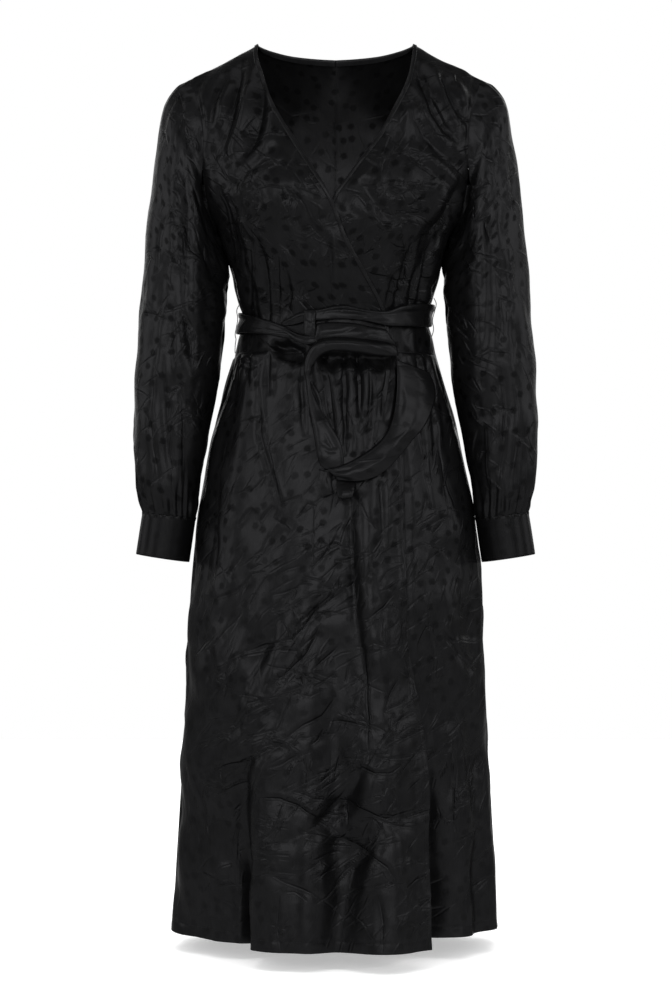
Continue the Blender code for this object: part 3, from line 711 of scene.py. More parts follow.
leftFrontCreases += strayCreases((0.00, 0.19, -0.36, -0.06), 90, 140, 52, 0.026, 0.0030, 0.0014)
leftFrontCreases += strayCreases((0.03, 0.13, -0.34, -0.19), 46, 15, 54, 0.030, 0.0028, 0.0020)
rightFrontCreases += strayCreases((-0.13, -0.04, -0.34, -0.20), 34, 100, 55, 0.028, 0.0028, 0.0018)
backCreases = inMetres([
    (6.5, 3.4, (-150, -110), (-120, -150), (-95, -200)),
    (5.5, 3, (152, -100), (124, -145), (100, -185)),
    (5.5, 3.2, (-150, -200), (-120, -250), (-100, -330)),
    (5.5, 3.2, (148, -210), (122, -262), (106, -335)),
    (4.6, 2.8, (-78, -240), (-74, -290), (-70, -345)),
    (4.6, 2.8, (-44, -262), (-40, -300), (-42, -345)),
    (4.6, 2.5, (34, -255), (38, -300), (36, -345)),
    (4.6, 3, (70, -235), (74, -290), (70, -345)),
    (3.7, 1.6, (-90, -60), (-60, -80), (-30, -75)),
    (3.7, 1.6, (30, -85), (65, -78), (98, -55)),
    (3.2, 1.6, (-110, -222), (-80, -215), (-40, -225)),
    (3.2, 1.4, (30, -200), (70, -190), (105, -200)),
])
backCreases += strayCreases((-0.19, 0.19, -0.39, -0.08), 130, 30, 53, 0.026, 0.0030, 0.0014)

# soft gathers above the belt, and the drapes that fall from the shoulders
rightFrontGathers = inMetres([
    (12, 8.8, (-122, -26), (-128, -70), (-138, -120), (-152, -160)),
    (9.5, 6.2, (-142, -46), (-155, -85), (-163, -125)),
    (13, 7.4, (-96, -40), (-94, -90), (-104, -140), (-130, -185)),
    (8.5, 4, (-74, -150), (-100, -175), (-138, -205)),
    (5.3, 4.4, (-124, -262), (-114, -312), (-108, -372)),
    (4.1, 3.1, (-108, -306), (-101, -340), (-98, -378)),
    (6, 5.2, (-98, -268), (-88, -326), (-85, -380)),
    (3.9, 2.9, (-74, -318), (-73, -350), (-74, -380)),
    (5.3, 3.4, (-66, -300), (-60, -334), (-62, -368)),
    (6.9, 3.9, (-150, -196), (-138, -236), (-124, -292)),
    (4.6, 2.9, (-10, -262), (-6, -300), (-5, -345)),
])
leftFrontGathers = inMetres([
    (12, 8.4, (108, -30), (116, -74), (134, -116), (160, -146)),
    (9.5, 6.2, (136, -46), (150, -85), (165, -112)),
    (12, 6.6, (90, -70), (104, -120), (130, -152), (162, -176)),
    (8.5, 4.2, (86, -160), (122, -182), (158, -205)),
    (12, 5, (30, -196), (50, -226), (76, -244)),
    (5.3, 4.4, (128, -262), (114, -304), (106, -350)),
    (4.1, 3.1, (108, -296), (100, -326), (94, -352)),
    (5.7, 4.4, (100, -262), (88, -306), (76, -352)),
    (3.9, 2.6, (78, -304), (70, -330), (64, -354)),
    (6.9, 3.9, (156, -200), (140, -236), (118, -270)),
])
backGathers = inMetres([
    (6, 4.4, (-104, -270), (-100, -320), (-98, -385)),
    (5.6, 4.2, (-80, -265), (-78, -320), (-76, -388)),
    (5.6, 4, (-54, -280), (-52, -330), (-50, -390)),
    (5.4, 3.6, (-30, -290), (-28, -335), (-28, -390)),
    (5.4, 3.6, (24, -285), (26, -330), (26, -390)),
    (5.6, 4.2, (48, -275), (50, -325), (50, -390)),
    (5.6, 4.4, (74, -262), (76, -320), (74, -388)),
    (6, 4.2, (100, -272), (100, -325), (96, -385)),
    (7, 4, (-150, -110), (-122, -150), (-96, -205)),
    (7, 3.8, (152, -100), (126, -145), (100, -190)),
])


def sideHeights(top):
    eased = 1 - np.cos(np.pi / 2 * share(bodice["armholeRows"]))
    outer = top + (cut["underarm"] - top) * eased
    down = cut["underarm"] + (cut["waistSeam"] - cut["underarm"]) * share(bodice["sideRows"])[1:]
    return np.concatenate([outer, down])


def bodiceEdge(hand, column):
    # the side of a front (column 0 of the armhole) or of a back (column 1)
    heights = sideHeights(cut["armholeTop"])
    turns = turnAt(armhole.at(np.maximum(heights, cut["underarm"]), column), heights)
    turns = np.where(heights <= cut["underarm"] + 1e-9, 90.0, turns)
    return np.stack([turns * hand, heights], axis=1)


def fillPatch(left, right, top, bottom):
    # a grid of (turn, height) between four edges
    down = (right[0, 1] - right[:, 1]) / (right[0, 1] - right[-1, 1])
    s, t = share(len(top) - 1)[None, :, None], down[:, None, None]
    mixed = (1 - s) * left[:, None] + s * right[:, None] + (1 - t) * top[None] + t * bottom[None]
    upper, lower = (1 - s) * left[0] + s * right[0], (1 - s) * left[-1] + s * right[-1]
    return mixed - (1 - t) * upper - t * lower


def edgeCalm(points, distance, sides):
    # 0 at the named edges of a cloth grid, 1 from some distance in
    calm = np.ones(points.shape[:2])
    for side in sides:
        calm *= viewedBack(ramp(awayFromEdge(edgeView(points, side)), 0, distance), side)
    return calm


def pressedLine(points, side, distance, depth=0.0007, width=0.0018):
    # the slight groove and puckers along a row of stitches
    grid = edgeView(points, side)
    away = awayFromEdge(grid)
    along = np.cumsum(np.linalg.norm(np.diff(grid, axis=1, prepend=grid[:, :1]), axis=2), axis=1)
    pucker = 0.7 + 0.6 * softNoise(along, away * 0.3, 0.009, 17)
    return viewedBack(-depth * pucker * np.exp(-((away - distance) / width) ** 2), side)


def wrinkled(points, outward, uv, relief, marks=None):
    # the piece with its relief pushed out along its normals
    normals = gridNormals(points, outward)
    points = points + normals * relief[..., None]
    made = {"points": points, "normals": gridNormals(points, outward), "uv": uv}
    if marks is not None:
        made["marks"] = marks
    return made


def bodiceRelief(x, height, outward, uv, seed, creaseRows, gathers):
    relief = crumple(uv[..., 0], uv[..., 1], bodice["crumpleSize"], seed) * bodice["crumple"]
    relief *= pressedByBelt(height)
    relief += creases(x, height, creaseRows) * turnedAway(outward)
    return relief + creases(x, height, gathers, crisp=False)


# neckline, creases, gathers and seed
frontParts = {
    -1: (Curve(lappingNeckline), rightFrontCreases, rightFrontGathers, 11),
    1: (Curve(underNeckline), leftFrontCreases, leftFrontGathers, 31),
}


def makeFront(hand):
    neckline, creaseRows, gathers, seed = frontParts[hand]
    heights = sideHeights(0.0)
    left = np.stack([turnAt(neckline.at(heights), heights), heights], axis=1)
    right = bodiceEdge(hand, 0)
    s = share(bodice["columns"])
    x = hand * (cut["neckHalf"] + (cut["shoulderTip"] - cut["neckHalf"]) * s)
    top = np.stack([turnAt(x, shoulderHeight(x)), shoulderHeight(x)], axis=1)
    bottom = np.stack([left[-1, 0] + (right[-1, 0] - left[-1, 0]) * s, 0 * s + cut["waistSeam"]], axis=1)
    turn, height = np.moveaxis(fillPatch(left, right, top, bottom), 2, 0)
    points, outward = formPoint(turn, height)
    bustX, bustHeight, bustReach, bustOut = bodice["bust"]
    mound = np.exp(-((np.abs(points[..., 0]) - bustX) ** 2 + (height - bustHeight) ** 2) / bustReach ** 2)
    lift = bustOut * mound * ramp(-height, 0.05, 0.15)
    if hand < 0:
        lift = lift + wrapLift(turn, height)
    points = points + outward * lift[..., None]
    points[..., 1] -= cut["seamGap"] / 2
    uv = clothCoordinates(points, bodice["columns"] // 2)
    calm = edgeCalm(points, calmAt["seam"], ("right", "top")) * edgeCalm(points, calmAt["waist"], ("bottom",))
    relief = bodiceRelief(points[..., 0], height, outward, uv, seed, creaseRows, gathers)
    if hand > 0:  # calm where the other front lies over it
        over = frontParts[-1][0].at(height)
        calm = calm * ramp(points[..., 0] - over, -0.004, 0.010)
    marks = creaseMarks(points[..., 0], height, creaseRows, calm * turnedAway(outward))
    return wrinkled(points, outward, uv, relief * calm + beltHollow(points), marks)


def makeBack(hand):
    heights = sideHeights(backNeckline[0][1])
    left = np.stack([0 * heights, heights], axis=1)
    right = bodiceEdge(1, 1)
    s = share(bodice["columns"])
    neckX = cut["neckHalf"] * np.minimum(s * 2, 1)
    outX = cut["neckHalf"] + (cut["shoulderTip"] - cut["neckHalf"]) * np.maximum(s * 2 - 1, 0)
    x = np.where(s <= 0.5, neckX, outX)
    tops = np.where(s <= 0.5, Curve(backNeckline).at(neckX), shoulderHeight(outX))
    top = np.stack([turnAt(x, tops), tops], axis=1)
    bottom = np.stack([90 * s, 0 * s + cut["waistSeam"]], axis=1)
    turn, height = np.moveaxis(fillPatch(left, right, top, bottom), 2, 0)
    points, outward = formPoint((180 - turn) * hand, height)
    points[..., 1] += cut["seamGap"] / 2
    uv = clothCoordinates(points, bodice["columns"] // 2)
    calm = edgeCalm(points, calmAt["seam"], ("left", "right", "top"))
    calm *= edgeCalm(points, calmAt["waist"], ("bottom",))
    seed = 51 if hand < 0 else 71
    relief = bodiceRelief(points[..., 0], height, outward, uv, seed, backCreases, backGathers)
    strength, reach, low, high = bodice["backCalm"]
    calm = calm * (1 - strength * np.exp(-(points[..., 0] / reach) ** 4) * ramp(height, low, high))
    marks = creaseMarks(points[..., 0], height, backCreases, calm * turnedAway(outward))
    return wrinkled(points, outward, uv, relief * calm + pressedLine(points, "left", 0.0, 0.0005), marks)


fronts = {hand: makeFront(hand) for hand in (-1, 1)}
backs = {hand: makeBack(hand) for hand in (-1, 1)}

edging = {
    # across the strip, from the inside round to the outside: distance in from the edge and off the cloth
    "inside": [(0.0045, -0.0008), (0.0020, -0.0009), (0.0004, -0.0008)],
    "insideBehind": [(0.0080, -0.0018), (0.0030, -0.0019), (0.0004, -0.0017)],
    "outside": [(-0.0005, -0.0001), (-0.0002, 0.0007), (0.0008, 0.0011), (0.0025, 0.0012), (0.0044, 0.0011),
                (0.0052, 0.0008), (0.0056, 0.0001)],
    "stitchFromEdge": 0.0043,
    "stitchLift": 0.0012,
}


def makeEdging(panels, inside="inside"):
    # a folded strip round the edge that is the last row of each (points, normals)
    halves = []
    for points, normals in panels:
        onward = points[-1] - points[-2]
        onward /= np.linalg.norm(onward, axis=1, keepdims=True)
        rows, ups = [], []
        for distance, lift in edging[inside] + edging["outside"]:
            row = insetRows(points, points, [max(distance, 0)])[0]
            up = insetRows(normals, points, [max(distance, 0)])[0]
            rows.append(row + onward * max(-distance, 0) + up * lift)
            ups.append(up)
        halves.append((np.array(rows), np.array(ups)))
    points = np.concatenate([half[0] for half in halves], axis=1)
    ups = np.concatenate([half[1] for half in halves], axis=1)
    return {"points": points, "normals": ups, "uv": clothCoordinates(points, points.shape[1] // 2)}


backNeck = []
for hand in (-1, 1):
    grids = (edgeView(backs[hand][key], "top") for key in ("points", "normals"))
    backNeck.append([grid[:, :bodice["columns"] // 2 + 1][:, ::hand] for grid in grids])
frontNecks = [[edgeView(fronts[hand][key], "left") for key in ("points", "normals")] for hand in (-1, 1)]
# the strip, its node and its cloth
edgings = {
    "neckEdgeRight": (makeEdging(frontNecks[:1]), "neck_binding_right", edgeSatin),
    "neckEdgeLeft": (makeEdging(frontNecks[1:]), "neck_binding_left", edgeSatin),
    "neckEdgeBack": (makeEdging(backNeck, "insideBehind"), "neck_binding_back", neckBandSatinPaintedLight),
}
neckStitches = []
for points, normals in frontNecks + backNeck:
    line, up = (insetRows(grid, points, [edging["stitchFromEdge"]])[0] for grid in (points, normals))
    neckStitches.append((line + up * edging["stitchLift"], up))

made = {}
for hand, word in ((-1, "Right"), (1, "Left")):
    for name, half, material in (("front", fronts[hand], frontSatinPaintedShade), ("back", backs[hand], dottedSatin)):
        for side, width, rows in bodice["turnedIn"]:
            turnUnder(half, side, width, rows)
        made[name + word] = makeCloth(name + word, half, material, "dotted_satin", name + "_" + word.lower())
for name, (strip, node, material) in edgings.items():
    made[name] = makeCloth(name, strip, material, "edge_satin", node)
made["neckStitching"] = addStitches("neckStitching", neckStitches, thread)
print("bodice made")


# Skirt
skirt = {
    "rows": 380,
    "lappingColumns": 235,
    "underColumns": 136,
    "backColumns": 184,
    "crumple": 0.95,
    "crumpleSize": 0.038,
    "creased": 0.8,
    "swell": 0.0050,
    "swellSize": 0.100,
    "lower": (0.6, 0.6, 0.55, 0.85),  # how crushed it is above, how much more below, and where that grows
    "wrapShadow": (0.0026, 0.004, 0.006),  # how far the front below sinks in beside the edge, where, how wide
    "deepFold": (0.8, -38, 7, 0.93, 1.03),  # how calm it is there, its turn and spread, and where that grows
    "pleated": 0.8,
    "edgeStitch": (0.0055, 0.0006),  # how far in from the free edge, and how deep it is pressed in
    "hemStitch": 0.0135,
    "turnedIn": [("left", 0.009, 3), ("right", 0.009, 3), ("top", 0.008, 3), ("bottom", 0.014, 5)],
    # turn, spread, height where it starts, how far out it goes at the hem
    "lappingFolds": [(-55, 32, -0.80, -0.022), (-42, 14, -0.85, -0.028), (-37.5, 7, -0.88, -0.032),
                     (-22, 10, -0.60, 0.008), (1, 12, -0.50, -0.026), (19, 13, -0.55, 0.018)],
    "underFolds": [(0, 80, -0.40, -0.012), (1, 14, -0.46, -0.036), (38, 24, -0.70, -0.050),
                   (66, 12, -0.60, -0.014)],
    "backFolds": [(118, 13, -0.60, -0.024), (140, 10, -0.55, 0.012), (163, 12, -0.50, -0.030),
                  (181, 9, -0.60, 0.012), (203, 14, -0.65, -0.036), (224, 10, -0.55, 0.010),
                  (244, 11, -0.70, -0.018)],
    # turn, spread, pitch in degrees, depth, and the heights where they are deepest and where they end
    "gathers": [(0, 400, 24.0, 0.0016, -0.465, -0.62), (-58, 26, 9.5, 0.0009, -0.430, -0.50),
                (62, 26, 11.0, 0.0012, -0.440, -0.52), (180, 60, 12.5, 0.0018, -0.440, -0.60)],
}
lappingCreases = inMetres([
    (4.6, 3.3, (34, -780), (38, -850), (40, -930)),
    (4.6, 3.7, (28, -753), (42, -750), (62, -735), (76, -714)),
    (4.1, 3.3, (75, -715), (87, -746), (94, -810), (99, -866)),
    (3.2, 2.5, (63, -865), (73, -842), (85, -820)),
    (4.6, 2.7, (-90, -500), (-80, -560), (-70, -610)),
    (3.7, 3, (-124, -634), (-106, -610)),
    (3.7, 3, (-96, -628), (-77, -608)),
    (3.7, 2.2, (-30, -600), (-30, -686)),
    (4.6, 3.3, (-32, -690), (-14, -670), (4, -645)),
    (4.1, 3.3, (-50, -760), (-26, -738), (0, -715)),
    (4.6, 4.2, (-82, -838), (-48, -805), (-33, -790), (-16, -755)),
    (3.7, 3, (-30, -815), (-12, -800), (7, -780)),
    (3.7, 1.9, (-115, -794), (-90, -783), (-62, -780)),
    (3.7, 2.2, (-140, -852), (-134, -821), (-119, -794)),
    (3.7, 2.5, (-142, -904), (-122, -880), (-102, -858)),
    (3.2, 2.2, (-92, -874), (-75, -861)),
    (4.1, 3.3, (-62, -899), (-38, -882), (-17, -870), (2, -846)),
    (5, 4, (-178, -963), (-157, -946), (-131, -934), (-100, -925), (-58, -899)),
    (4.1, 3.3, (-158, -980), (-130, -964), (-108, -954)),
    (4.6, 3.7, (-106, -958), (-99, -974), (-68, -974), (-49, -981), (-20, -999), (8, -1020)),
    (3.7, 2.7, (-54, -964), (-30, -973), (8, -977)),
    (4.1, 1.9, (-103, -1038), (-80, -1043), (-56, -1043)),
    (5, 3, (-86, -1066), (-32, -1089), (8, -1120)),
    (3.7, 2.2, (-34, -1050), (-12, -1042), (8, -1039)),
    (4.1, 2.5, (-30, -1073), (-14, -1062), (8, -1057)),
    (3.2, 1.8, (40, -918), (70, -923), (103, -924)),
    (4.6, 3.4, (13, -946), (32, -934), (48, -942), (71, -940), (93, -927)),
    (4.6, 3.7, (-10, -975), (16, -976), (46, -993), (63, -998), (92, -990), (114, -986)),
    (4.6, 3.7, (-10, -1028), (7, -1022), (20, -1028), (38, -1042), (63, -1056), (86, -1092)),
    (3.7, 2.2, (85, -1086), (102, -1076), (119, -1070)),
    (4.1, 2.7, (-120, -1000), (-128, -1060), (-124, -1130)),
    (4.6, 2.5, (-70, -1090), (-74, -1125), (-70, -1160)),
    (4.6, 2.2, (50, -1090), (58, -1125), (56, -1160)),
    (3.7, 2.5, (-150, -560), (-156, -640), (-160, -720)),
])
lappingCreases += strayCreases((-0.19, 0.11, -1.15, -0.78), 130, 20, 61, 0.040, 0.0032, 0.0018)
lappingCreases += strayCreases((-0.18, 0.09, -0.80, -0.43), 80, 55, 62, 0.034, 0.0032, 0.0015)
lappingCreases += strayCreases((-0.18, 0.08, -1.12, -0.62), 46, 32, 66, 0.078, 0.0026, 0.0024)
underCreases = inMetres([
    (4.1, 3.7, (132, -760), (145, -776), (157, -794), (177, -822)),
    (3.2, 1.9, (161, -700), (160, -725), (162, -750)),
    (3.7, 2.2, (150, -1037), (163, -1032), (178, -1024)),
    (4.1, 2.5, (100, -470), (112, -540), (120, -620)),
    (4.1, 2.2, (124, -480), (138, -560), (148, -650)),
    (3.7, 2.2, (110, -700), (122, -780), (126, -860)),
    (3.7, 1.9, (150, -860), (165, -900), (172, -950)),
    (4.1, 2.5, (140, -900), (150, -960), (148, -1040)),
])
underCreases += strayCreases((0.08, 0.21, -1.15, -0.43), 80, 50, 63, 0.034, 0.0032, 0.0015)
underCreases += strayCreases((0.10, 0.20, -1.12, -0.60), 24, 60, 67, 0.060, 0.0026, 0.0022)
backSkirtCreases = inMetres([
    (5.5, 3.4, (-90, -470), (-98, -560), (-102, -660)),
    (5.5, 3.4, (-30, -460), (-36, -560), (-40, -680)),
    (5.5, 3.4, (42, -465), (48, -570), (56, -660)),
    (4.6, 3, (100, -480), (112, -570), (118, -640)),
    (4.6, 3, (-120, -700), (-85, -740), (-50, -752)),
    (4.1, 2.8, (20, -720), (56, -760), (100, -772)),
    (4.6, 3.2, (-150, -820), (-118, -862), (-70, -880), (-30, -872)),
    (4.1, 2.8, (30, -842), (62, -880), (110, -902), (150, -896)),
    (4.1, 2.5, (-20, -930), (16, -962), (60, -974)),
    (4.1, 2.5, (-160, -980), (-120, -1006), (-84, -1004)),
    (4.1, 2.3, (80, -1010), (116, -1040), (158, -1046)),
    (3.7, 2.1, (-60, -1030), (-30, -1062), (10, -1070)),
])
backSkirtCreases += strayCreases((-0.21, 0.21, -1.15, -0.78), 150, 160, 64, 0.040, 0.0032, 0.0018)
backSkirtCreases += strayCreases((-0.19, 0.19, -0.80, -0.43), 90, 110, 65, 0.034, 0.0032, 0.0015)
backSkirtCreases += strayCreases((-0.19, 0.19, -1.12, -0.60), 60, 145, 68, 0.074, 0.0026, 0.0024)


# deep pleats that hang from the waist seam, seen through the loop of the belt and beside it
hangingPleats = inMetres([
    (2.2, 2.2, (-124, -414), (-114, -412.5), (-103, -413.5)),
    (2.2, 2, (-125, -422), (-115, -420.5), (-100, -421.5)),
    (2.2, 1.6, (-126, -430), (-116, -428), (-106, -429)),
    (5.8, 6.2, (-19, -404), (-12, -450), (0, -520)),
    (5, 6.8, (11, -404), (12.5, -460), (12, -545)),
    (5.4, 6.6, (29.2, -404), (30, -440), (33, -500)),
    (4, 4, (45, -430), (44, -470), (40, -535)),
    (5.8, 7, (72, -404), (68, -440), (60, -500)),
    (3.4, 3, (21, -450), (20, -480), (23, -520)),
    (13, 9.2, (18, -560), (20, -640), (23, -730), (36, -830)),
    (14, 7, (-95, -870), (-112, -940), (-120, -1020), (-122, -1120)),
    (16, 7, (-20, -660), (-70, -740), (-125, -860), (-155, -960)),
    (15, 6, (60, -880), (20, -960), (-30, -1010), (-80, -1030)),
    (15, 6, (60, -1000), (20, -1060), (10, -1120)),
    (5, 3.4, (56, -560), (58, -600), (60, -660)),
    (4.6, 4, (-110, -404), (-111, -430), (-110, -462)),
    (4, 3.4, (-83, -404), (-85, -430), (-86, -470)),
    (5, 3.6, (-42, -420), (-44, -450), (-40, -520)),
    (4, 2.8, (-98, -455), (-94, -520), (-72, -600)),
    (3, 2.2, (-122, -404), (-124, -420), (-126, -445)),
])
underPleats = inMetres([
    (5, 4.4, (83, -404), (87, -450), (94, -530)),
    (4, 3.2, (100, -404), (106, -430), (111, -480)),
    (4.4, 4, (113, -404), (121, -450), (130, -540)),
])
backPleats = inMetres([
    (5.5, 4.6, (-98, -402), (-106, -460), (-112, -560)),
    (5, 4, (-74, -402), (-78, -450), (-80, -520)),
    (5.5, 4.8, (-48, -402), (-52, -460), (-56, -600)),
    (5, 3.8, (-20, -402), (-21, -450), (-24, -520)),
    (5.5, 4.8, (11, -402), (11, -465), (13, -580)),
    (5, 4, (38, -402), (40, -450), (43, -530)),
    (5.5, 4.6, (64, -402), (70, -460), (74, -560)),
    (5, 4.2, (92, -402), (99, -450), (107, -520)),
])


def skirtSwing(turn, height, folds):
    # how far the hem's folds and the gathers below the waist move the cloth out
    out = np.zeros_like(turn)
    for foldTurn, spread, top, depth in folds:
        apart = np.minimum(np.abs(turn - foldTurn) / spread, 1)
        out += depth * np.cos(apart * np.pi / 2) ** 2 * ramp(-height, -top, -cut["hem"])
    for middle, spread, pitch, depth, peak, end in skirt["gathers"]:
        near = 1 - ramp(np.abs(turn - middle), spread * 0.5, spread)
        fade = ramp(-height, -cut["waistSeam"], -peak) * (1 - ramp(-height, -peak, -end))
        wander = 0.35 * np.sin(np.radians(turn * 360 / pitch / 2.7 + 40))
        out += depth * near * fade * np.cos(np.radians(turn * 360 / pitch) + wander)
    return out


def makeSkirtPanel(start, end, columns, folds, bottom, creaseRows, pleats, seed, calmSides):
    # start and end are a turn or the curve of an edge
    lapping, under, behind = (folds is skirt[key] for key in ("lappingFolds", "underFolds", "backFolds"))
    top = cut["waistSeam"] - cut["seamGap"]
    heights = top + (bottom - top) * share(skirt["rows"])
    first, last = (turnAt(edge.at(heights), heights) if isinstance(edge, Curve) else edge + 0 * heights
                   for edge in (start, end))
    turn = first[:, None] + (last - first)[:, None] * share(columns)
    height = np.repeat(heights[:, None], columns + 1, axis=1)
    points, outward = formPoint(turn, height)
    lift = skirtSwing(turn, height, folds)
    if lapping:
        lift = lift + wrapLift(turn, height)
    points = points + outward * lift[..., None]
    points[..., 1] += cut["seamGap"] / 2 * (1 if behind else -1)
    uv = clothCoordinates(points, columns // 2)
    calm = edgeCalm(points, calmAt["seam"], calmSides) * edgeCalm(points, calmAt["waist"], ("top",))
    above, more, high, low = skirt["lower"]
    relief = crumple(uv[..., 0], uv[..., 1], skirt["crumpleSize"], seed) * skirt["crumple"]
    relief *= above + more * ramp(-height, high, low)
    away = turnedAway(outward)
    slanted = uv[..., 0] + 0.5 * uv[..., 1]
    relief += skirt["swell"] * softNoise(slanted, 0.55 * uv[..., 1], skirt["swellSize"], seed + 11)
    relief += creases(points[..., 0], height, creaseRows) * away * skirt["creased"]
    relief += creases(points[..., 0], height, pleats, crisp=False) * skirt["pleated"]
    if under:  # calm where the other panel lies over it, and sunk in beside that panel's edge
        over = Curve(wrapEdge).at(height)
        calm = calm * ramp(points[..., 0] - over, -0.012, 0.006)
        depth, place, width = skirt["wrapShadow"]
        sunk = np.exp(-((points[..., 0] - over - place) / width) ** 2) * ramp(-height, 0.42, 0.46)
        points = points - outward * (depth * sunk)[..., None]
    if lapping:  # calm where the deep fold turns away
        strength, middle, spread, high, low = skirt["deepFold"]
        calm = calm * (1 - strength * np.exp(-((turn - middle) / spread) ** 2) * ramp(-height, high, low))
    relief = relief * calm + pressedLine(points, "bottom", skirt["hemStitch"]) + beltHollow(points)
    if lapping:
        relief += pressedLine(points, "right", *skirt["edgeStitch"])
    return wrinkled(points, outward, uv, relief, creaseMarks(points[..., 0], height, creaseRows, calm * away))


# start, end, columns, folds, bottom, creases, pleats, seed, calm sides and the node
skirtParts = {
    "skirtLapping": (-90, Curve(wrapEdge), skirt["lappingColumns"], skirt["lappingFolds"], cut["hem"],
                     lappingCreases, hangingPleats, 101, ("left",), "skirt_front_right"),
    "skirtUnder": (Curve(underWrapEdge), 90, skirt["underColumns"], skirt["underFolds"], cut["underHem"],
                   underCreases, underPleats, 131, ("right",), "skirt_front_left"),
    "skirtBack": (90, 270, skirt["backColumns"], skirt["backFolds"], cut["hem"],
                  backSkirtCreases, backPleats, 161, ("left", "right"), "skirt_back"),
}
panels = {name: makeSkirtPanel(*parts[:-1]) for name, parts in skirtParts.items()}
skirtStitches = [stitchLine(panel, "bottom", skirt["hemStitch"]) for panel in panels.values()]
skirtStitches.append(stitchLine(panels["skirtLapping"], "right", skirt["edgeStitch"][0]))
for name, panel in panels.items():
    for side, width, rows in skirt["turnedIn"]:
        turnUnder(panel, side, width, rows)
    made[name] = makeCloth(name, panel, dottedSatin, "dotted_satin", skirtParts[name][-1])
made["skirtStitching"] = addStitches("skirtStitching", skirtStitches, thread)
print("skirt made")


# Sleeves and cuffs
# outer x and height, inner x and height, half depth, forward swing
sleeveRings = inMetres([
    (207.4, -55, 154.9, -254.2, 57, 0), (221.9, -74.7, 150.5, -264.7, 60, 0),
    (230.8, -106, 144.2, -276.6, 62, 0), (237, -144.9, 140.8, -288.4, 63, 1),
    (242.8, -197.5, 142, -306.9, 63, 2), (250, -262, 143.2, -333, 62, 4), (256, -340, 145.8, -374, 60, 7),
    (262.5, -438, 154, -445, 57, 11), (264.8, -525, 168.5, -528, 53, 15),
    (260.6, -580.8, 179, -583.4, 47, 18), (254.5, -604.5, 182.2, -609.8, 40, 19),
    (252.5, -615, 183, -622.4, 34, 20),
])
cuffRings = inMetres([
    (252.7, -615.4, 182.8, -622.8, 34, 20), (256.8, -642, 186.8, -650.8, 33.5, 21),
    (260.8, -669, 191.1, -679.6, 33.5, 22),
])
sleeve = {
    "around": 160,
    "along": 232,
    "cuffAlong": 36,
    "crumple": 0.85,
    "crumpleSize": 0.032,
    "innerFall": 0.014,
    "cuffGathers": 21,
    "cuffGatherDepth": 0.0020,
    "cuffGatherReach": 0.070,
    "headGathers": 17,
    "headGatherDepth": 0.0012,
    "cuffGatherEnd": (0.012, 0.65),  # how near the cuff the gathers are deepest, how much they close there
    "turnedIn": ("top", 0.008, 3),
    "cuffCrumple": (0.0003, 0.045),  # depth and size
    "cuffPuckers": (0.0009, 0.004),  # depth and how far down
    "cuffStitches": [("top", 0.003), ("bottom", 0.004)],
    "cuffTurnedIn": [("bottom", 0.046, 8), ("top", 0.004, 2)],
}
# on the front half of each sleeve, with x away from the body
sleeveFolds = inMetres({
    -1: [
        (12, 4.6, (196, -150), (190, -250), (192, -340), (184, -440)),
        (9, 3.6, (204, -300), (212, -380), (208, -470)),
        (8, 3.6, (222, -400), (222, -480), (214, -570)),
    ],
    1: [
        (12, 4.6, (194, -140), (190, -240), (193, -350), (186, -450)),
        (9, 3.4, (206, -260), (214, -340), (206, -430)),
        (8, 3.6, (210, -420), (220, -480), (213, -570)),
    ],
})
sleeveCreases = inMetres({
    -1: [
        (5, 2.4, (236, -440), (238, -500), (226, -580)),
        (4.5, 1.8, (196, -240), (184, -276), (166, -292)),
        (4, 1.4, (215, -230), (226, -262), (232, -310)),
        (4.5, 1.8, (210, -470), (213, -530), (208, -590)),
        (4, 1.6, (196, -480), (194, -540), (198, -592)),
    ],
    1: [
        (4.5, 2, (176, -420), (200, -408), (224, -412)),
        (5, 2.2, (232, -450), (234, -520), (226, -588)),
        (4.5, 1.8, (212, -480), (214, -535), (209, -592)),
        (4, 1.6, (190, -500), (192, -550), (198, -595)),
        (4, 1.4, (206, -300), (214, -345), (216, -390)),
    ],
})
sleeveBackCreases = inMetres([
    (6.5, 3.4, (190, -220), (188, -300), (184, -390)),
    (5, 2.6, (214, -320), (205, -370), (186, -400)),
    (5, 2.6, (232, -360), (216, -400), (190, -424)),
    (5, 2.4, (224, -460), (226, -530), (218, -590)),
    (4.5, 2, (198, -470), (200, -540), (204, -592)),
])
sleeveCreases[-1] += strayCreases((0.165, 0.245, -0.57, -0.09), 60, 70, 71, 0.032, 0.0030, 0.0015)
sleeveCreases[1] += strayCreases((0.165, 0.245, -0.57, -0.09), 60, 110, 72, 0.032, 0.0030, 0.0015)
sleeveBackCreases += strayCreases((0.165, 0.245, -0.57, -0.09), 60, 80, 73, 0.032, 0.0030, 0.0015)


def tubeRings(rings, angles):
    # an oval of points for each row of the table
    made = []
    for outerX, outerHeight, innerX, innerHeight, halfDepth, forward in rings:
        x = (outerX + innerX) / 2 + (outerX - innerX) / 2 * np.cos(angles)
        z = (outerHeight + innerHeight) / 2 + (outerHeight - innerHeight) / 2 * np.cos(angles)
        made.append(np.stack([x, -forward - halfDepth * np.sin(angles), z], axis=1))
    return np.array(made)


def armholeRing(angles):
    # the armhole's own points, from the shoulder tip down the front and up the back
    turned = angles % (2 * np.pi)
    front = turned <= np.pi + 1e-9
    t = np.where(front, turned, 2 * np.pi - turned) / np.pi
    heights = cut["armholeTop"] + (cut["underarm"] - cut["armholeTop"]) * (1 - np.cos(np.pi * t)) / 2
    x = np.where(front, armhole.at(heights, 0), armhole.at(heights, 1))
    turn = np.where(heights <= cut["underarm"] + 1e-9, 90.0, turnAt(x, heights))
    points, _ = formPoint(np.where(front, turn, 180 - turn), heights)
    return points + np.array([cut["seamGap"] * 1.6, 0, 0])


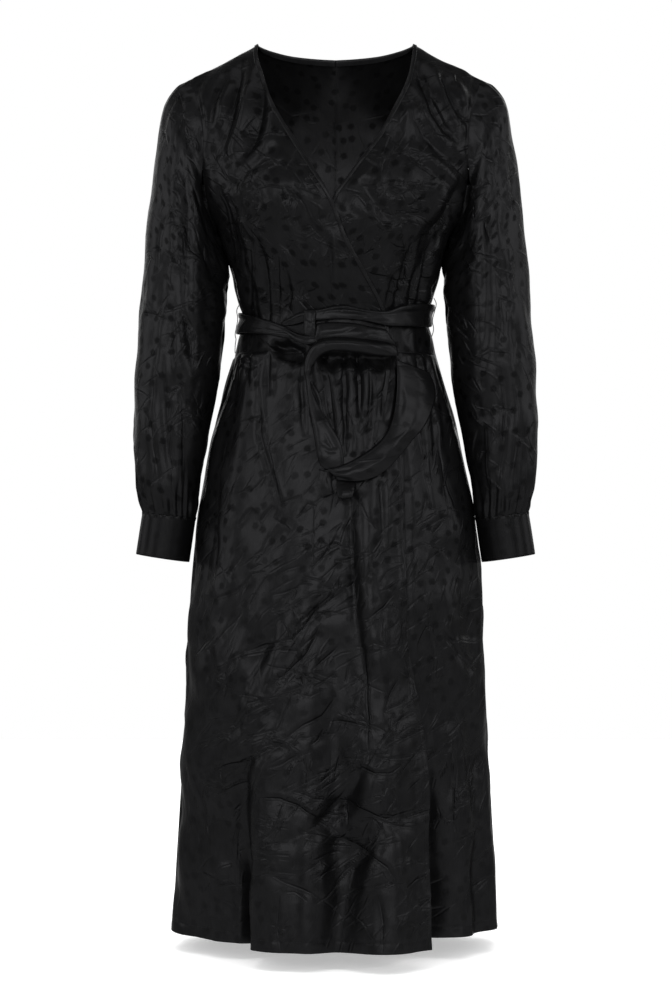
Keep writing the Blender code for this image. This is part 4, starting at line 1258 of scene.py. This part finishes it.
def tube(rings, along, hand):
    # points, outward directions and the distance down, on smooth curves through the rings
    centres = rings.mean(axis=1)
    places = lengthsAlong(centres)
    fine = places[-1] * along
    points = smoothThrough(rings, places, fine)
    outward = points - smoothThrough(centres, places, fine)[:, None]
    return points * np.array([hand, 1, 1]), outward * np.array([hand, 1, 1]), fine


def makeSleeve(hand):
    around = np.pi + 2 * np.pi * share(sleeve["around"])  # the seam is under the arm
    rings = np.concatenate([armholeRing(around)[None], tubeRings(sleeveRings, around)])
    points, outward, fine = tube(rings, share(sleeve["along"]), hand)
    uv = clothCoordinates(points, sleeve["around"] // 2)
    down, total, around = fine[:, None], fine[-1], around[None]
    wander = 0.5 * np.sin(around * 3 + 1.0 + hand) + 0.35 * np.sin(around * 5 + 2)
    reach = sleeve["cuffGatherReach"] * (0.75 + 0.35 * np.sin(around * 7 + hand))
    near, closed = sleeve["cuffGatherEnd"]
    fade = ramp(down, total - reach, total - near) * (1 - closed * ramp(down, total - 0.010, total))
    relief = sleeve["cuffGatherDepth"] * fade * np.cos(sleeve["cuffGathers"] * around + 2.2 * wander)
    top = ramp(np.cos(around), 0.2, 0.8) * ramp(down, 0.002, 0.012) * (1 - ramp(down, 0.012, 0.060))
    relief = relief + sleeve["headGatherDepth"] * top * np.cos(sleeve["headGathers"] * around + wander)
    calm = ramp(down, 0, calmAt["seam"]) * ramp(total - down, 0.004, 0.020)
    crushed = crumple(uv[..., 0], uv[..., 1], sleeve["crumpleSize"], 201 + 20 * (hand + 1))
    relief = relief + calm * crushed * sleeve["crumple"]
    x, height = np.abs(points[..., 0]), points[..., 2]
    # the inner third falls away towards the body
    inner = (1 - ramp(x, 0.152, 0.190)) * ramp(-height, 0.13, 0.22) * (1 - ramp(-height, 0.43, 0.55))
    relief = relief - sleeve["innerFall"] * inner * np.sin(around) ** 2
    front, back = (calm * ramp(side * np.sin(around) + 0 * down, 0.12, 0.45) for side in (1, -1))
    relief = relief + front * creases(x, height, sleeveCreases[hand])
    relief = relief + front * creases(x, height, sleeveFolds[hand], crisp=False)
    relief = relief + back * creases(x, height, sleeveBackCreases)
    marks = creaseMarks(x, height, sleeveCreases[hand], front)
    behind = creaseMarks(x, height, sleeveBackCreases, back)
    marks = np.where((np.sin(around) + 0 * down < 0)[..., None], behind, marks)
    return wrinkled(points, outward, uv, relief, marks)


def makeCuff(hand):
    around = np.pi + 2 * np.pi * share(sleeve["around"])
    points, outward, fine = tube(tubeRings(cuffRings, around), share(sleeve["cuffAlong"]), hand)
    uv = clothCoordinates(points, sleeve["around"] // 2)
    (depth, size), (puckerDepth, puckerReach) = sleeve["cuffCrumple"], sleeve["cuffPuckers"]
    relief = depth * softNoise(uv[..., 0], uv[..., 1] * 0.6, size, 301 + hand)
    puckers = puckerDepth * np.cos(sleeve["cuffGathers"] * around + 1)[None]
    relief += puckers * (1 - ramp(fine, 0, puckerReach))[:, None]
    return wrinkled(points, outward, uv, relief)


cuffStitches = []
for hand, word in ((-1, "Right"), (1, "Left")):
    arm = makeSleeve(hand)
    turnUnder(arm, *sleeve["turnedIn"])
    node = "_" + word.lower()
    made["sleeve" + word] = makeCloth("sleeve" + word, arm, dottedSatin, "dotted_satin", "sleeve" + node)
    band = makeCuff(hand)
    cuffStitches += [stitchLine(band, side, distance) for side, distance in sleeve["cuffStitches"]]
    for side, width, rows in sleeve["cuffTurnedIn"]:
        turnUnder(band, side, width, rows, roll=0.0009)
    made["cuff" + word] = makeCloth("cuff" + word, band, cuffSatin, "cuff_satin", "cuff" + node)
made["cuffStitching"] = addStitches("cuffStitching", cuffStitches, thread)
print("sleeves made")


# Belt
# turn in degrees, then top, bottom and how far it stands off the form in millimetres
beltStations = [
    (-12.5, -357, -372.2, 6.8), (4, -350.3, -370, 6.2), (16, -355, -372.5, 6.4), (30, -356.7, -377.9, 6.8),
    (42, -348.2, -377.8, 6.4), (58, -344, -376.8, 5), (90, -342, -372, 3.4), (135, -343.5, -374, 3.4),
    (180, -345.5, -377, 3.4), (225, -348, -379.5, 3.4), (270, -350.8, -382.2, 4),
    (300, -360.2, -384.5, 5.6), (320, -371.3, -390, 6.2), (332, -380, -394, 6.4), (343, -389.5, -397, 6.8),
]
# each ribbon: the node, its section as (share across, share of the crown), its rows in millimetres as x and
# height of one edge, then of the other, how far off the form and the crown, and creases as for the bodice
beltRibbons = {
    "beltUpperTuck": (
        "belt_knot",
        [(0, 0), (0.3, 1), (0.6, 0.5), (1, 0)],
        [
            (-70, -372.5, -69, -377, 6, 0.8), (-58, -366.5, -55, -376, 7.8, 3),
            (-47, -360.5, -43, -373, 8.8, 3.6), (-37, -358, -33, -370, 8.8, 2),
        ],
        [
            (2.2, 1.6, (-66, -373), (-52, -368), (-40, -366)),
        ],
    ),
    "beltLowerTuck": (
        "belt_knot",
        [(0, 0), (0.25, 1), (0.5, 0.7), (0.8, 0.5), (1, 0)],
        [
            (-74, -376, -74, -381, 7.8, 0.8), (-62, -380, -64, -388, 9, 3),
            (-50, -386, -52, -396.5, 10.2, 4), (-40, -389, -41, -401, 10.8, 4),
            (-30, -389, -29, -402, 10, 3), (-22, -389, -22, -400, 8, 1),
        ],
        [
            (2.2, 1.6, (-66, -384), (-50, -393), (-34, -396)),
        ],
    ),
    "beltKnot": (
        "belt_knot",
        [(0, 0), (0.18, 0.45), (0.42, 0.7), (0.68, 1), (0.88, 0.7), (1, 0)],
        [
            (-39.5, -357.2, -26.2, -356.5, 9, 1), (-41, -363, -24.7, -362, 10.8, 3),
            (-40.2, -373, -25.2, -373.5, 11.4, 3.6), (-40.4, -385, -24.7, -384, 11.6, 3.4),
            (-38.5, -397.5, -25.8, -396, 9.6, 1),
        ],
        [
            (2.2, 1.6, (-41, -372), (-33, -377), (-25, -373)),
            (2, 1.4, (-39, -384), (-32, -381), (-26, -387)),
        ],
    ),
    "beltDrape": (
        "belt_drape",
        [(0, 0), (0.1, 0.62), (0.32, 0.92), (0.56, 1), (0.78, 0.72), (1, 0)],
        [
            (-27, -377, -29, -399, 8, 2), (-21, -374.5, -24, -399, 8.6, 4),
            (-10, -373.5, -12, -398.5, 9, 4.6), (8, -373.5, 6, -398, 9.4, 4.8),
            (26, -375, 25, -399, 9.6, 4.8), (46, -379, 48, -400, 9.4, 4.4), (64, -382, 68, -401, 8.4, 3.6),
            (69, -388, 78, -402, 7, 2),
        ],
        [
            (3.4, 1.6, (-18, -391), (8, -387), (30, -378)),
            (3, 1.2, (26, -394), (46, -389), (66, -388)),
        ],
    ),
    "beltRoll": (
        "belt_loop",
        [(0, 0), (0.1, 0.62), (0.3, 1), (0.55, 0.92), (0.8, 0.6), (0.93, 0.3), (1, 0)],
        [
            (77.5, -401, 80, -415, 9.5, 2), (68, -399.5, 69, -416.5, 12, 5.5),
            (50, -398.5, 51, -416.5, 15, 8.5), (35, -396.5, 36, -415, 16, 9.2),
            (18, -395, 20, -413, 16.4, 9.2), (-5, -394.5, 1, -411.5, 16.4, 9),
            (-20, -397.5, -10, -413, 15.8, 8.4), (-31.2, -405, -18.8, -417.5, 14.6, 7.4),
            (-37.8, -416, -25.8, -425, 13.2, 5.8), (-40.2, -429, -30.2, -433, 12.2, 4.6),
            (-39.8, -443, -29.6, -444, 11.2, 4), (-36.2, -472, -19, -469, 10.6, 4.2),
            (-29.8, -503.5, -9.5, -499, 10.6, 4.2), (-24.7, -533, 6, -527, 10.4, 4.2),
            (-20.5, -553, 10.5, -548, 9.8, 3.2), (-15, -560, 10, -565, 8, 1.2),
        ],
        [
            (2.4, 1, (10, -400), (-10, -401), (-24, -408)),
            (4.8, 7.2, (-32.5, -438), (-27.5, -458), (-19.5, -476), (-12, -496)),
            (2.4, 2, (-20, -530), (-8, -537), (4, -536)),
            (2.2, 1.6, (-14, -515), (-8, -527), (0, -540)),
        ],
    ),
    "beltReturn": (
        "belt_loop",
        [(0, 0), (0.06, 0.42), (0.14, 0.62), (0.34, 0.84), (0.54, 1), (0.63, 0.93), (0.82, 0.42), (1, 0)],
        [
            (77.5, -420, 121.5, -435, 8.5, 1), (78.5, -434, 127.5, -450, 10, 2.6),
            (78, -456, 129, -466, 11.6, 4), (75.8, -477, 123, -486.5, 12.8, 5),
            (71.5, -498, 113, -506, 13.6, 6.2), (64, -515, 97.5, -524, 13.6, 7.4),
            (52, -529, 82, -543, 13.4, 8.4), (37, -540, 66, -560, 13.2, 8.8),
            (20, -550, 46, -572, 13.4, 8.4), (4, -557, 25, -576, 13.4, 6.6), (-10, -561, 3, -574, 13, 2),
        ],
        [
            (2.6, 1.2, (84, -452), (86, -474), (82, -494)),
            (2.4, 1, (98, -506), (84, -516), (66, -526)),
            (2.2, 1.2, (36, -552), (18, -562), (0, -564)),
        ],
    ),
    "beltLongEnd": (
        "belt_tail_long",
        [(0, 0), (0.18, 0.1), (0.42, 0.62), (0.6, 1), (0.82, 0.9), (1, 0.35)],
        [
            (-21.5, -560, -3, -566, 6.2, 4), (-22.2, -574, -4.8, -577, 7.8, 5.6),
            (-21.2, -586, -4, -585, 8, 5.6), (-16.5, -596.5, -1.6, -591.5, 6.4, 3.4),
        ],
        [
            (2, 1, (-13, -566), (-9, -576), (-8, -588)),
        ],
    ),
    "beltShortEnd": (
        "belt_tail_short",
        [(0, 0.2), (0.16, 0.55), (0.45, 0.75), (0.72, 1), (0.9, 0.75), (1, 0)],
        [
            (1, -569, 23.6, -571, 4, 0.6), (0.8, -579, 24.4, -580, 6.2, 2),
            (1.6, -588, 23.6, -588, 10, 2.4), (4, -595, 21.6, -594, 13.4, 1.8),
            (6.6, -597, 20.4, -595.5, 16.4, 1), (8.4, -592.5, 19, -591.5, 17.8, 0.6),
            (9.2, -588, 17.8, -587.5, 16.8, 0.4),
        ],
        [],
    ),
}
belt = {
    "wall": 0.0014,
    "pleats": 0.0002,
    "swell": 0.0022,
    "crumple": 0.0012,
    "fullWidth": 0.040,  # a narrower stretch is creased less
    "acrossColumns": 26,
    "step": 0.0018,
    "carrierThread": 0.0005,
}


def finishRibbon(name, points, outward, node, seed, creaseRows):
    uv = clothCoordinates(points, points.shape[1] // 2)
    # lengthwise creases of a crushed belt, that come and go
    across = np.linspace(0, 1, points.shape[0])[:, None]
    along = uv[..., 0]
    drift = 0.25 * softNoise(along, 0 * along, 0.06, seed)
    fade = 0.6 + 0.5 * softNoise(along, 0 * along, 0.09, seed + 1)
    pleats = np.sin(2 * np.pi * (across * 1.6 + drift) + 1) * fade
    pleats += 0.9 * (0.4 - np.abs(softNoise(along * 0.35, across * 0.05, 0.018, seed + 2)))
    wide = min(1.0, np.linalg.norm(points[-1] - points[0], axis=1).max() / belt["fullWidth"]) ** 2
    relief = belt["pleats"] * pleats * np.sin(np.pi * across) ** 0.5 * wide
    relief += creases(points[..., 0], points[..., 2], creaseRows)
    crushed = softNoise(along, across * 0.04, 0.022, seed + 3)
    relief += belt["crumple"] * crushed * np.sin(np.pi * across) * wide
    ribbon = wrinkled(points, outward, uv, relief)
    thing = makeCloth(name, ribbon, beltSatin, "belt_satin", node)
    wall = thing.modifiers.new("wall", "SOLIDIFY")
    wall.thickness = belt["wall"]
    wall.offset = -1 if facing(thing, ribbon) > 0 else 1
    return thing


def facing(thing, piece):
    # above 0 where the mesh's own normals agree with the cloth's outward side
    normal = thing.data.polygons[len(thing.data.polygons) // 2].normal
    rows, columns = piece["normals"].shape[:2]
    return float(np.dot(np.array(normal), piece["normals"][rows // 2, columns // 2]))


bandSection = Curve([(0, 0), (0.08, 0.62), (0.17, 0.76), (0.28, 0.52), (0.55, 0.85), (0.82, 0.80),
                     (0.94, 0.5), (1, 0)])
bandCreases = inMetres([
    (2.6, 1.6, (-118, -372), (-96, -378), (-66, -386), (-44, -392)),
    (2.2, 1.2, (-100, -386), (-80, -388), (-56, -393)),
    (2.6, 1.4, (-16, -360), (12, -357), (36, -361), (62, -366)),
    (2.4, 1.2, (20, -367), (46, -371), (72, -371)),
    (2.4, 1.2, (78, -356), (96, -357), (118, -352)),
])
stations = Curve([(turn, *inMetres(sizes)) for turn, *sizes in beltStations])
turns = np.arange(beltStations[0][0], beltStations[-1][0] + 0.01, 1.0)
across = np.linspace(0, 1, belt["acrossColumns"])[:, None]
tops, bottoms, lifts = (stations.at(turns, k)[None] for k in range(3))
height = tops + (bottoms - tops) * across
points, outward = formPoint(turns[None] + 0 * height, height)
swell = belt["swell"] * ramp(bottoms - tops, -0.008, -0.016) * bandSection.at(across)
points = points + outward * (lifts + belt["wall"] + swell)[..., None]
made["waistBelt"] = finishRibbon("waistBelt", points, outward, "belt_band", 401, bandCreases)

for number, (name, (node, section, rows, creaseRows)) in enumerate(beltRibbons.items()):
    table = np.array(inMetres(rows))
    middle = np.stack([(table[:, 0] + table[:, 2]) / 2, (table[:, 1] + table[:, 3]) / 2, table[:, 4]], axis=1)
    places = lengthsAlong(middle)
    fine = np.linspace(0, places[-1], max(12, round(places[-1] / belt["step"])))
    row = smoothThrough(table, places, fine)[None]
    x = row[..., 0] + (row[..., 2] - row[..., 0]) * across
    height = row[..., 1] + (row[..., 3] - row[..., 1]) * across
    y = -formDepth(x, height) - row[..., 4] - row[..., 5] * Curve(section).at(across)
    points = np.stack([x, y, height], axis=2)
    outward = np.zeros_like(points)
    outward[..., 1] = -1
    made[name] = finishRibbon(name, points, outward, node, 421 + 10 * number, inMetres(creaseRows))

# node, turn, then in millimetres how far off the form the thread is at each height
carriers = {
    "carrierRight": ("carrier_right", -90, [
        (1, -342), (4.6, -345), (7.2, -348.5), (8.2, -359), (8, -374), (7.2, -384), (4, -388), (3.6, -397),
        (1, -406),
    ]),
    "carrierLeft": ("carrier_left", 90, [
        (1, -333), (4.4, -336), (6.8, -340), (7, -348), (6.8, -364), (6.6, -374.5), (4.4, -379), (1, -384),
    ]),
}
for name, (node, turn, rows) in carriers.items():
    curve = bpy.data.curves.new(name, "CURVE")
    curve.dimensions = "3D"
    curve.bevel_depth = belt["carrierThread"]
    curve.bevel_resolution = 2
    curve.resolution_u = 6
    curve.use_fill_caps = True
    line = curve.splines.new("NURBS")
    line.points.add(len(rows) - 1)
    line.order_u = 3
    line.use_endpoint_u = True
    for spot, (lift, height) in zip(line.points, inMetres(rows)):
        point, normal = formPoint(np.array(float(turn)), np.array(height))
        spot.co = (*(point + normal * lift), 1)
    loop = placed(name, curve)
    curve.materials.append(thread)
    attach(loop, "root")
    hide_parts(node)
print("belt made")

# Each piece of cloth: width and length of the cut, its area where it isn't a rectangle, how it is held and
# what holds it
sheets = {
    "frontRight": (0.300, 0.490, 0.0915, "hung", ["backRight", "neckEdgeRight"]),
    "frontLeft": (0.300, 0.490, 0.0905, "hung", ["backLeft", "neckEdgeLeft"]),
    "backRight": (0.280, 0.500, 0.0955, "hung", ["frontRight", "backLeft"]),
    "backLeft": (0.280, 0.500, 0.0955, "hung", ["frontLeft", "backRight"]),
    "neckEdgeRight": (0.012, 0.525, None, "folded", ["frontRight"]),
    "neckEdgeLeft": (0.012, 0.530, None, "folded", ["frontLeft"]),
    "neckEdgeBack": (0.0155, 0.270, None, "folded", ["backRight", "backLeft"]),
    "skirtLapping": (0.540, 0.790, 0.3350, "hung", ["frontRight", "skirtBack"]),
    "skirtUnder": (0.480, 0.785, 0.3000, "hung", ["frontLeft", "skirtBack"]),
    "skirtBack": (0.730, 0.790, 0.4650, "hung", ["backRight", "backLeft"]),
    "sleeveRight": (0.530, 0.600, 0.1800, "gathered", ["frontRight", "backRight", "cuffRight"]),
    "sleeveLeft": (0.530, 0.600, 0.1800, "gathered", ["frontLeft", "backLeft", "cuffLeft"]),
    "cuffRight": (0.220, 0.112, None, "folded", ["sleeveRight"]),
    "cuffLeft": (0.220, 0.112, None, "folded", ["sleeveLeft"]),
    "waistBelt": (0.720, 0.031, None, "gathered", ["carrierRight", "carrierLeft"]),
    "beltUpperTuck": (0.041, 0.014, None, "folded", ["waistBelt"]),
    "beltLowerTuck": (0.064, 0.014, None, "folded", ["waistBelt"]),
    "beltKnot": (0.043, 0.024, None, "folded", ["waistBelt"]),
    "beltDrape": (0.113, 0.028, None, "folded", ["waistBelt", "beltKnot"]),
    "beltRoll": (0.290, 0.030, 0.0070, "folded", ["beltKnot", "beltDrape"]),
    "beltReturn": (0.235, 0.046, 0.0096, "folded", ["beltRoll", "waistBelt"]),
    "beltLongEnd": (0.038, 0.022, None, "hung", ["beltReturn"]),
    "beltShortEnd": (0.045, 0.022, None, "hung", ["beltReturn"]),
}
sewnOn = {"frontRight": ["neckStitching"], "skirtLapping": ["skirtStitching"], "cuffRight": ["cuffStitching"]}
for name, (width, length, area, held, holders) in sheets.items():
    [made[stitching] for stitching in sewnOn.get(name, [])]
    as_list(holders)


# Floor, light and camera
studio = {
    "lens": 81.35,
    "cameraPlace": (0.0006, -3.0, -0.6045),
    "floorHeight": -1.186,
    "floorColour": (0.85, 0.85, 0.85),
    "floorGlow": 0.42,
    "floorSeenByCloth": 0.55,  # the grey of the floor in the cloth's own reflections
    "backdrop": 1.0,  # how bright the empty background is
    "sky": 0.20,  # how much light comes from it
    # name, place, aim, width and height, power
    "lights": [("keyRight", (-1.95, -1.35, 0.40), (0, 0, -0.45), (0.9, 1.8), 10),
               ("keyLeft", (1.95, -1.35, 0.40), (0, 0, -0.45), (0.9, 1.8), 10),
               ("front", (0.0, -3.5, 0.45), (0, 0, -0.40), (3.4, 1.3), 32),
               ("low", (0.0, -3.3, -0.85), (0, 0, -0.45), (3.0, 0.6), 4),
               ("top", (0.0, -0.3, 2.4), (0, 0, -0.4), (2.5, 1.5), 10),
               ("sideRight", (-2.35, 0.35, 0.35), (0, 0, -0.45), (1.1, 1.8), 11),
               ("sideLeft", (2.35, 0.35, 0.35), (0, 0, -0.45), (1.1, 1.8), 11),
               ("backRight", (-1.65, 1.75, 0.35), (0, 0, -0.45), (0.9, 1.8), 9),
               ("backLeft", (1.65, 1.75, 0.35), (0, 0, -0.45), (0.9, 1.8), 9),
               ("back", (0.0, 3.6, 0.50), (0, 0, -0.35), (3.4, 2.0), 26),
               ("overhead", (0.0, 0.0, 3.2), (0, 0, 0), (5.0, 5.0), 190)],
}


def seenOrLit(tree, seen, lit, output):
    # the camera sees one shader, everything else is lit by the other
    ray, mix = tree.nodes.new("ShaderNodeLightPath"), tree.nodes.new("ShaderNodeMixShader")
    tree.links.new(ray.outputs["Is Camera Ray"], mix.inputs[0])
    tree.links.new(lit.outputs[0], mix.inputs[1])
    tree.links.new(seen.outputs[0], mix.inputs[2])
    tree.links.new(mix.outputs[0], tree.nodes[output].inputs["Surface"])


bm = bmesh.new()
bmesh.ops.create_grid(bm, x_segments=2, y_segments=2, size=2.6)
bmesh.ops.translate(bm, verts=bm.verts, vec=(0, 0, studio["floorHeight"]))
floor = placed("floor", meshFrom(bm, "floor"))
floorPaint = bpy.data.materials.new("floorPaint")
floorPaint.use_nodes = True
floorShader = floorPaint.node_tree.nodes["Principled BSDF"]
floorShader.inputs["Base Color"].default_value = (*studio["floorColour"], 1)
floorShader.inputs["Roughness"].default_value = 1.0
floorShader.inputs["Specular IOR Level"].default_value = 0.0
floorShader.inputs["Emission Color"].default_value = (1, 1, 1, 1)
floorShader.inputs["Emission Strength"].default_value = studio["floorGlow"]
floorDim = floorPaint.node_tree.nodes.new("ShaderNodeEmission")
floorDim.inputs["Strength"].default_value = studio["floorSeenByCloth"]
seenOrLit(floorPaint.node_tree, floorShader, floorDim, "Material Output")
floor.data.materials.append(floorPaint)
floorOnly = bpy.data.collections.new("floorOnly")
floorOnly.objects.link(floor)

world = bpy.data.worlds.new("studio")
scene.world = world
world.use_nodes = True
backdrop, sky = world.node_tree.nodes["Background"], world.node_tree.nodes.new("ShaderNodeBackground")
for shader, strength in ((backdrop, studio["backdrop"]), (sky, studio["sky"])):
    shader.inputs["Strength"].default_value = strength
    shader.inputs["Color"].default_value = (1, 1, 1, 1)
seenOrLit(world.node_tree, backdrop, sky, "World Output")

for name, place, aim, size, power in studio["lights"]:
    light = bpy.data.lights.new(name, "AREA")
    light.shape = "RECTANGLE"
    light.size, light.size_y = size
    light.energy = power
    lamp = placed(name, light)
    lamp.location = place
    if name == "overhead":  # it only lights the floor
        lamp.light_linking.receiver_collection = floorOnly
    lamp.rotation_euler = (Vector(place) - Vector(aim)).to_track_quat("Z", "Y").to_euler()

view = bpy.data.cameras.new("camera")
view.lens = studio["lens"]
view.clip_end = 60
camera = placed("camera", view)
camera.location = studio["cameraPlace"]
camera.rotation_euler = (math.radians(90), 0, 0)
scene.camera = camera
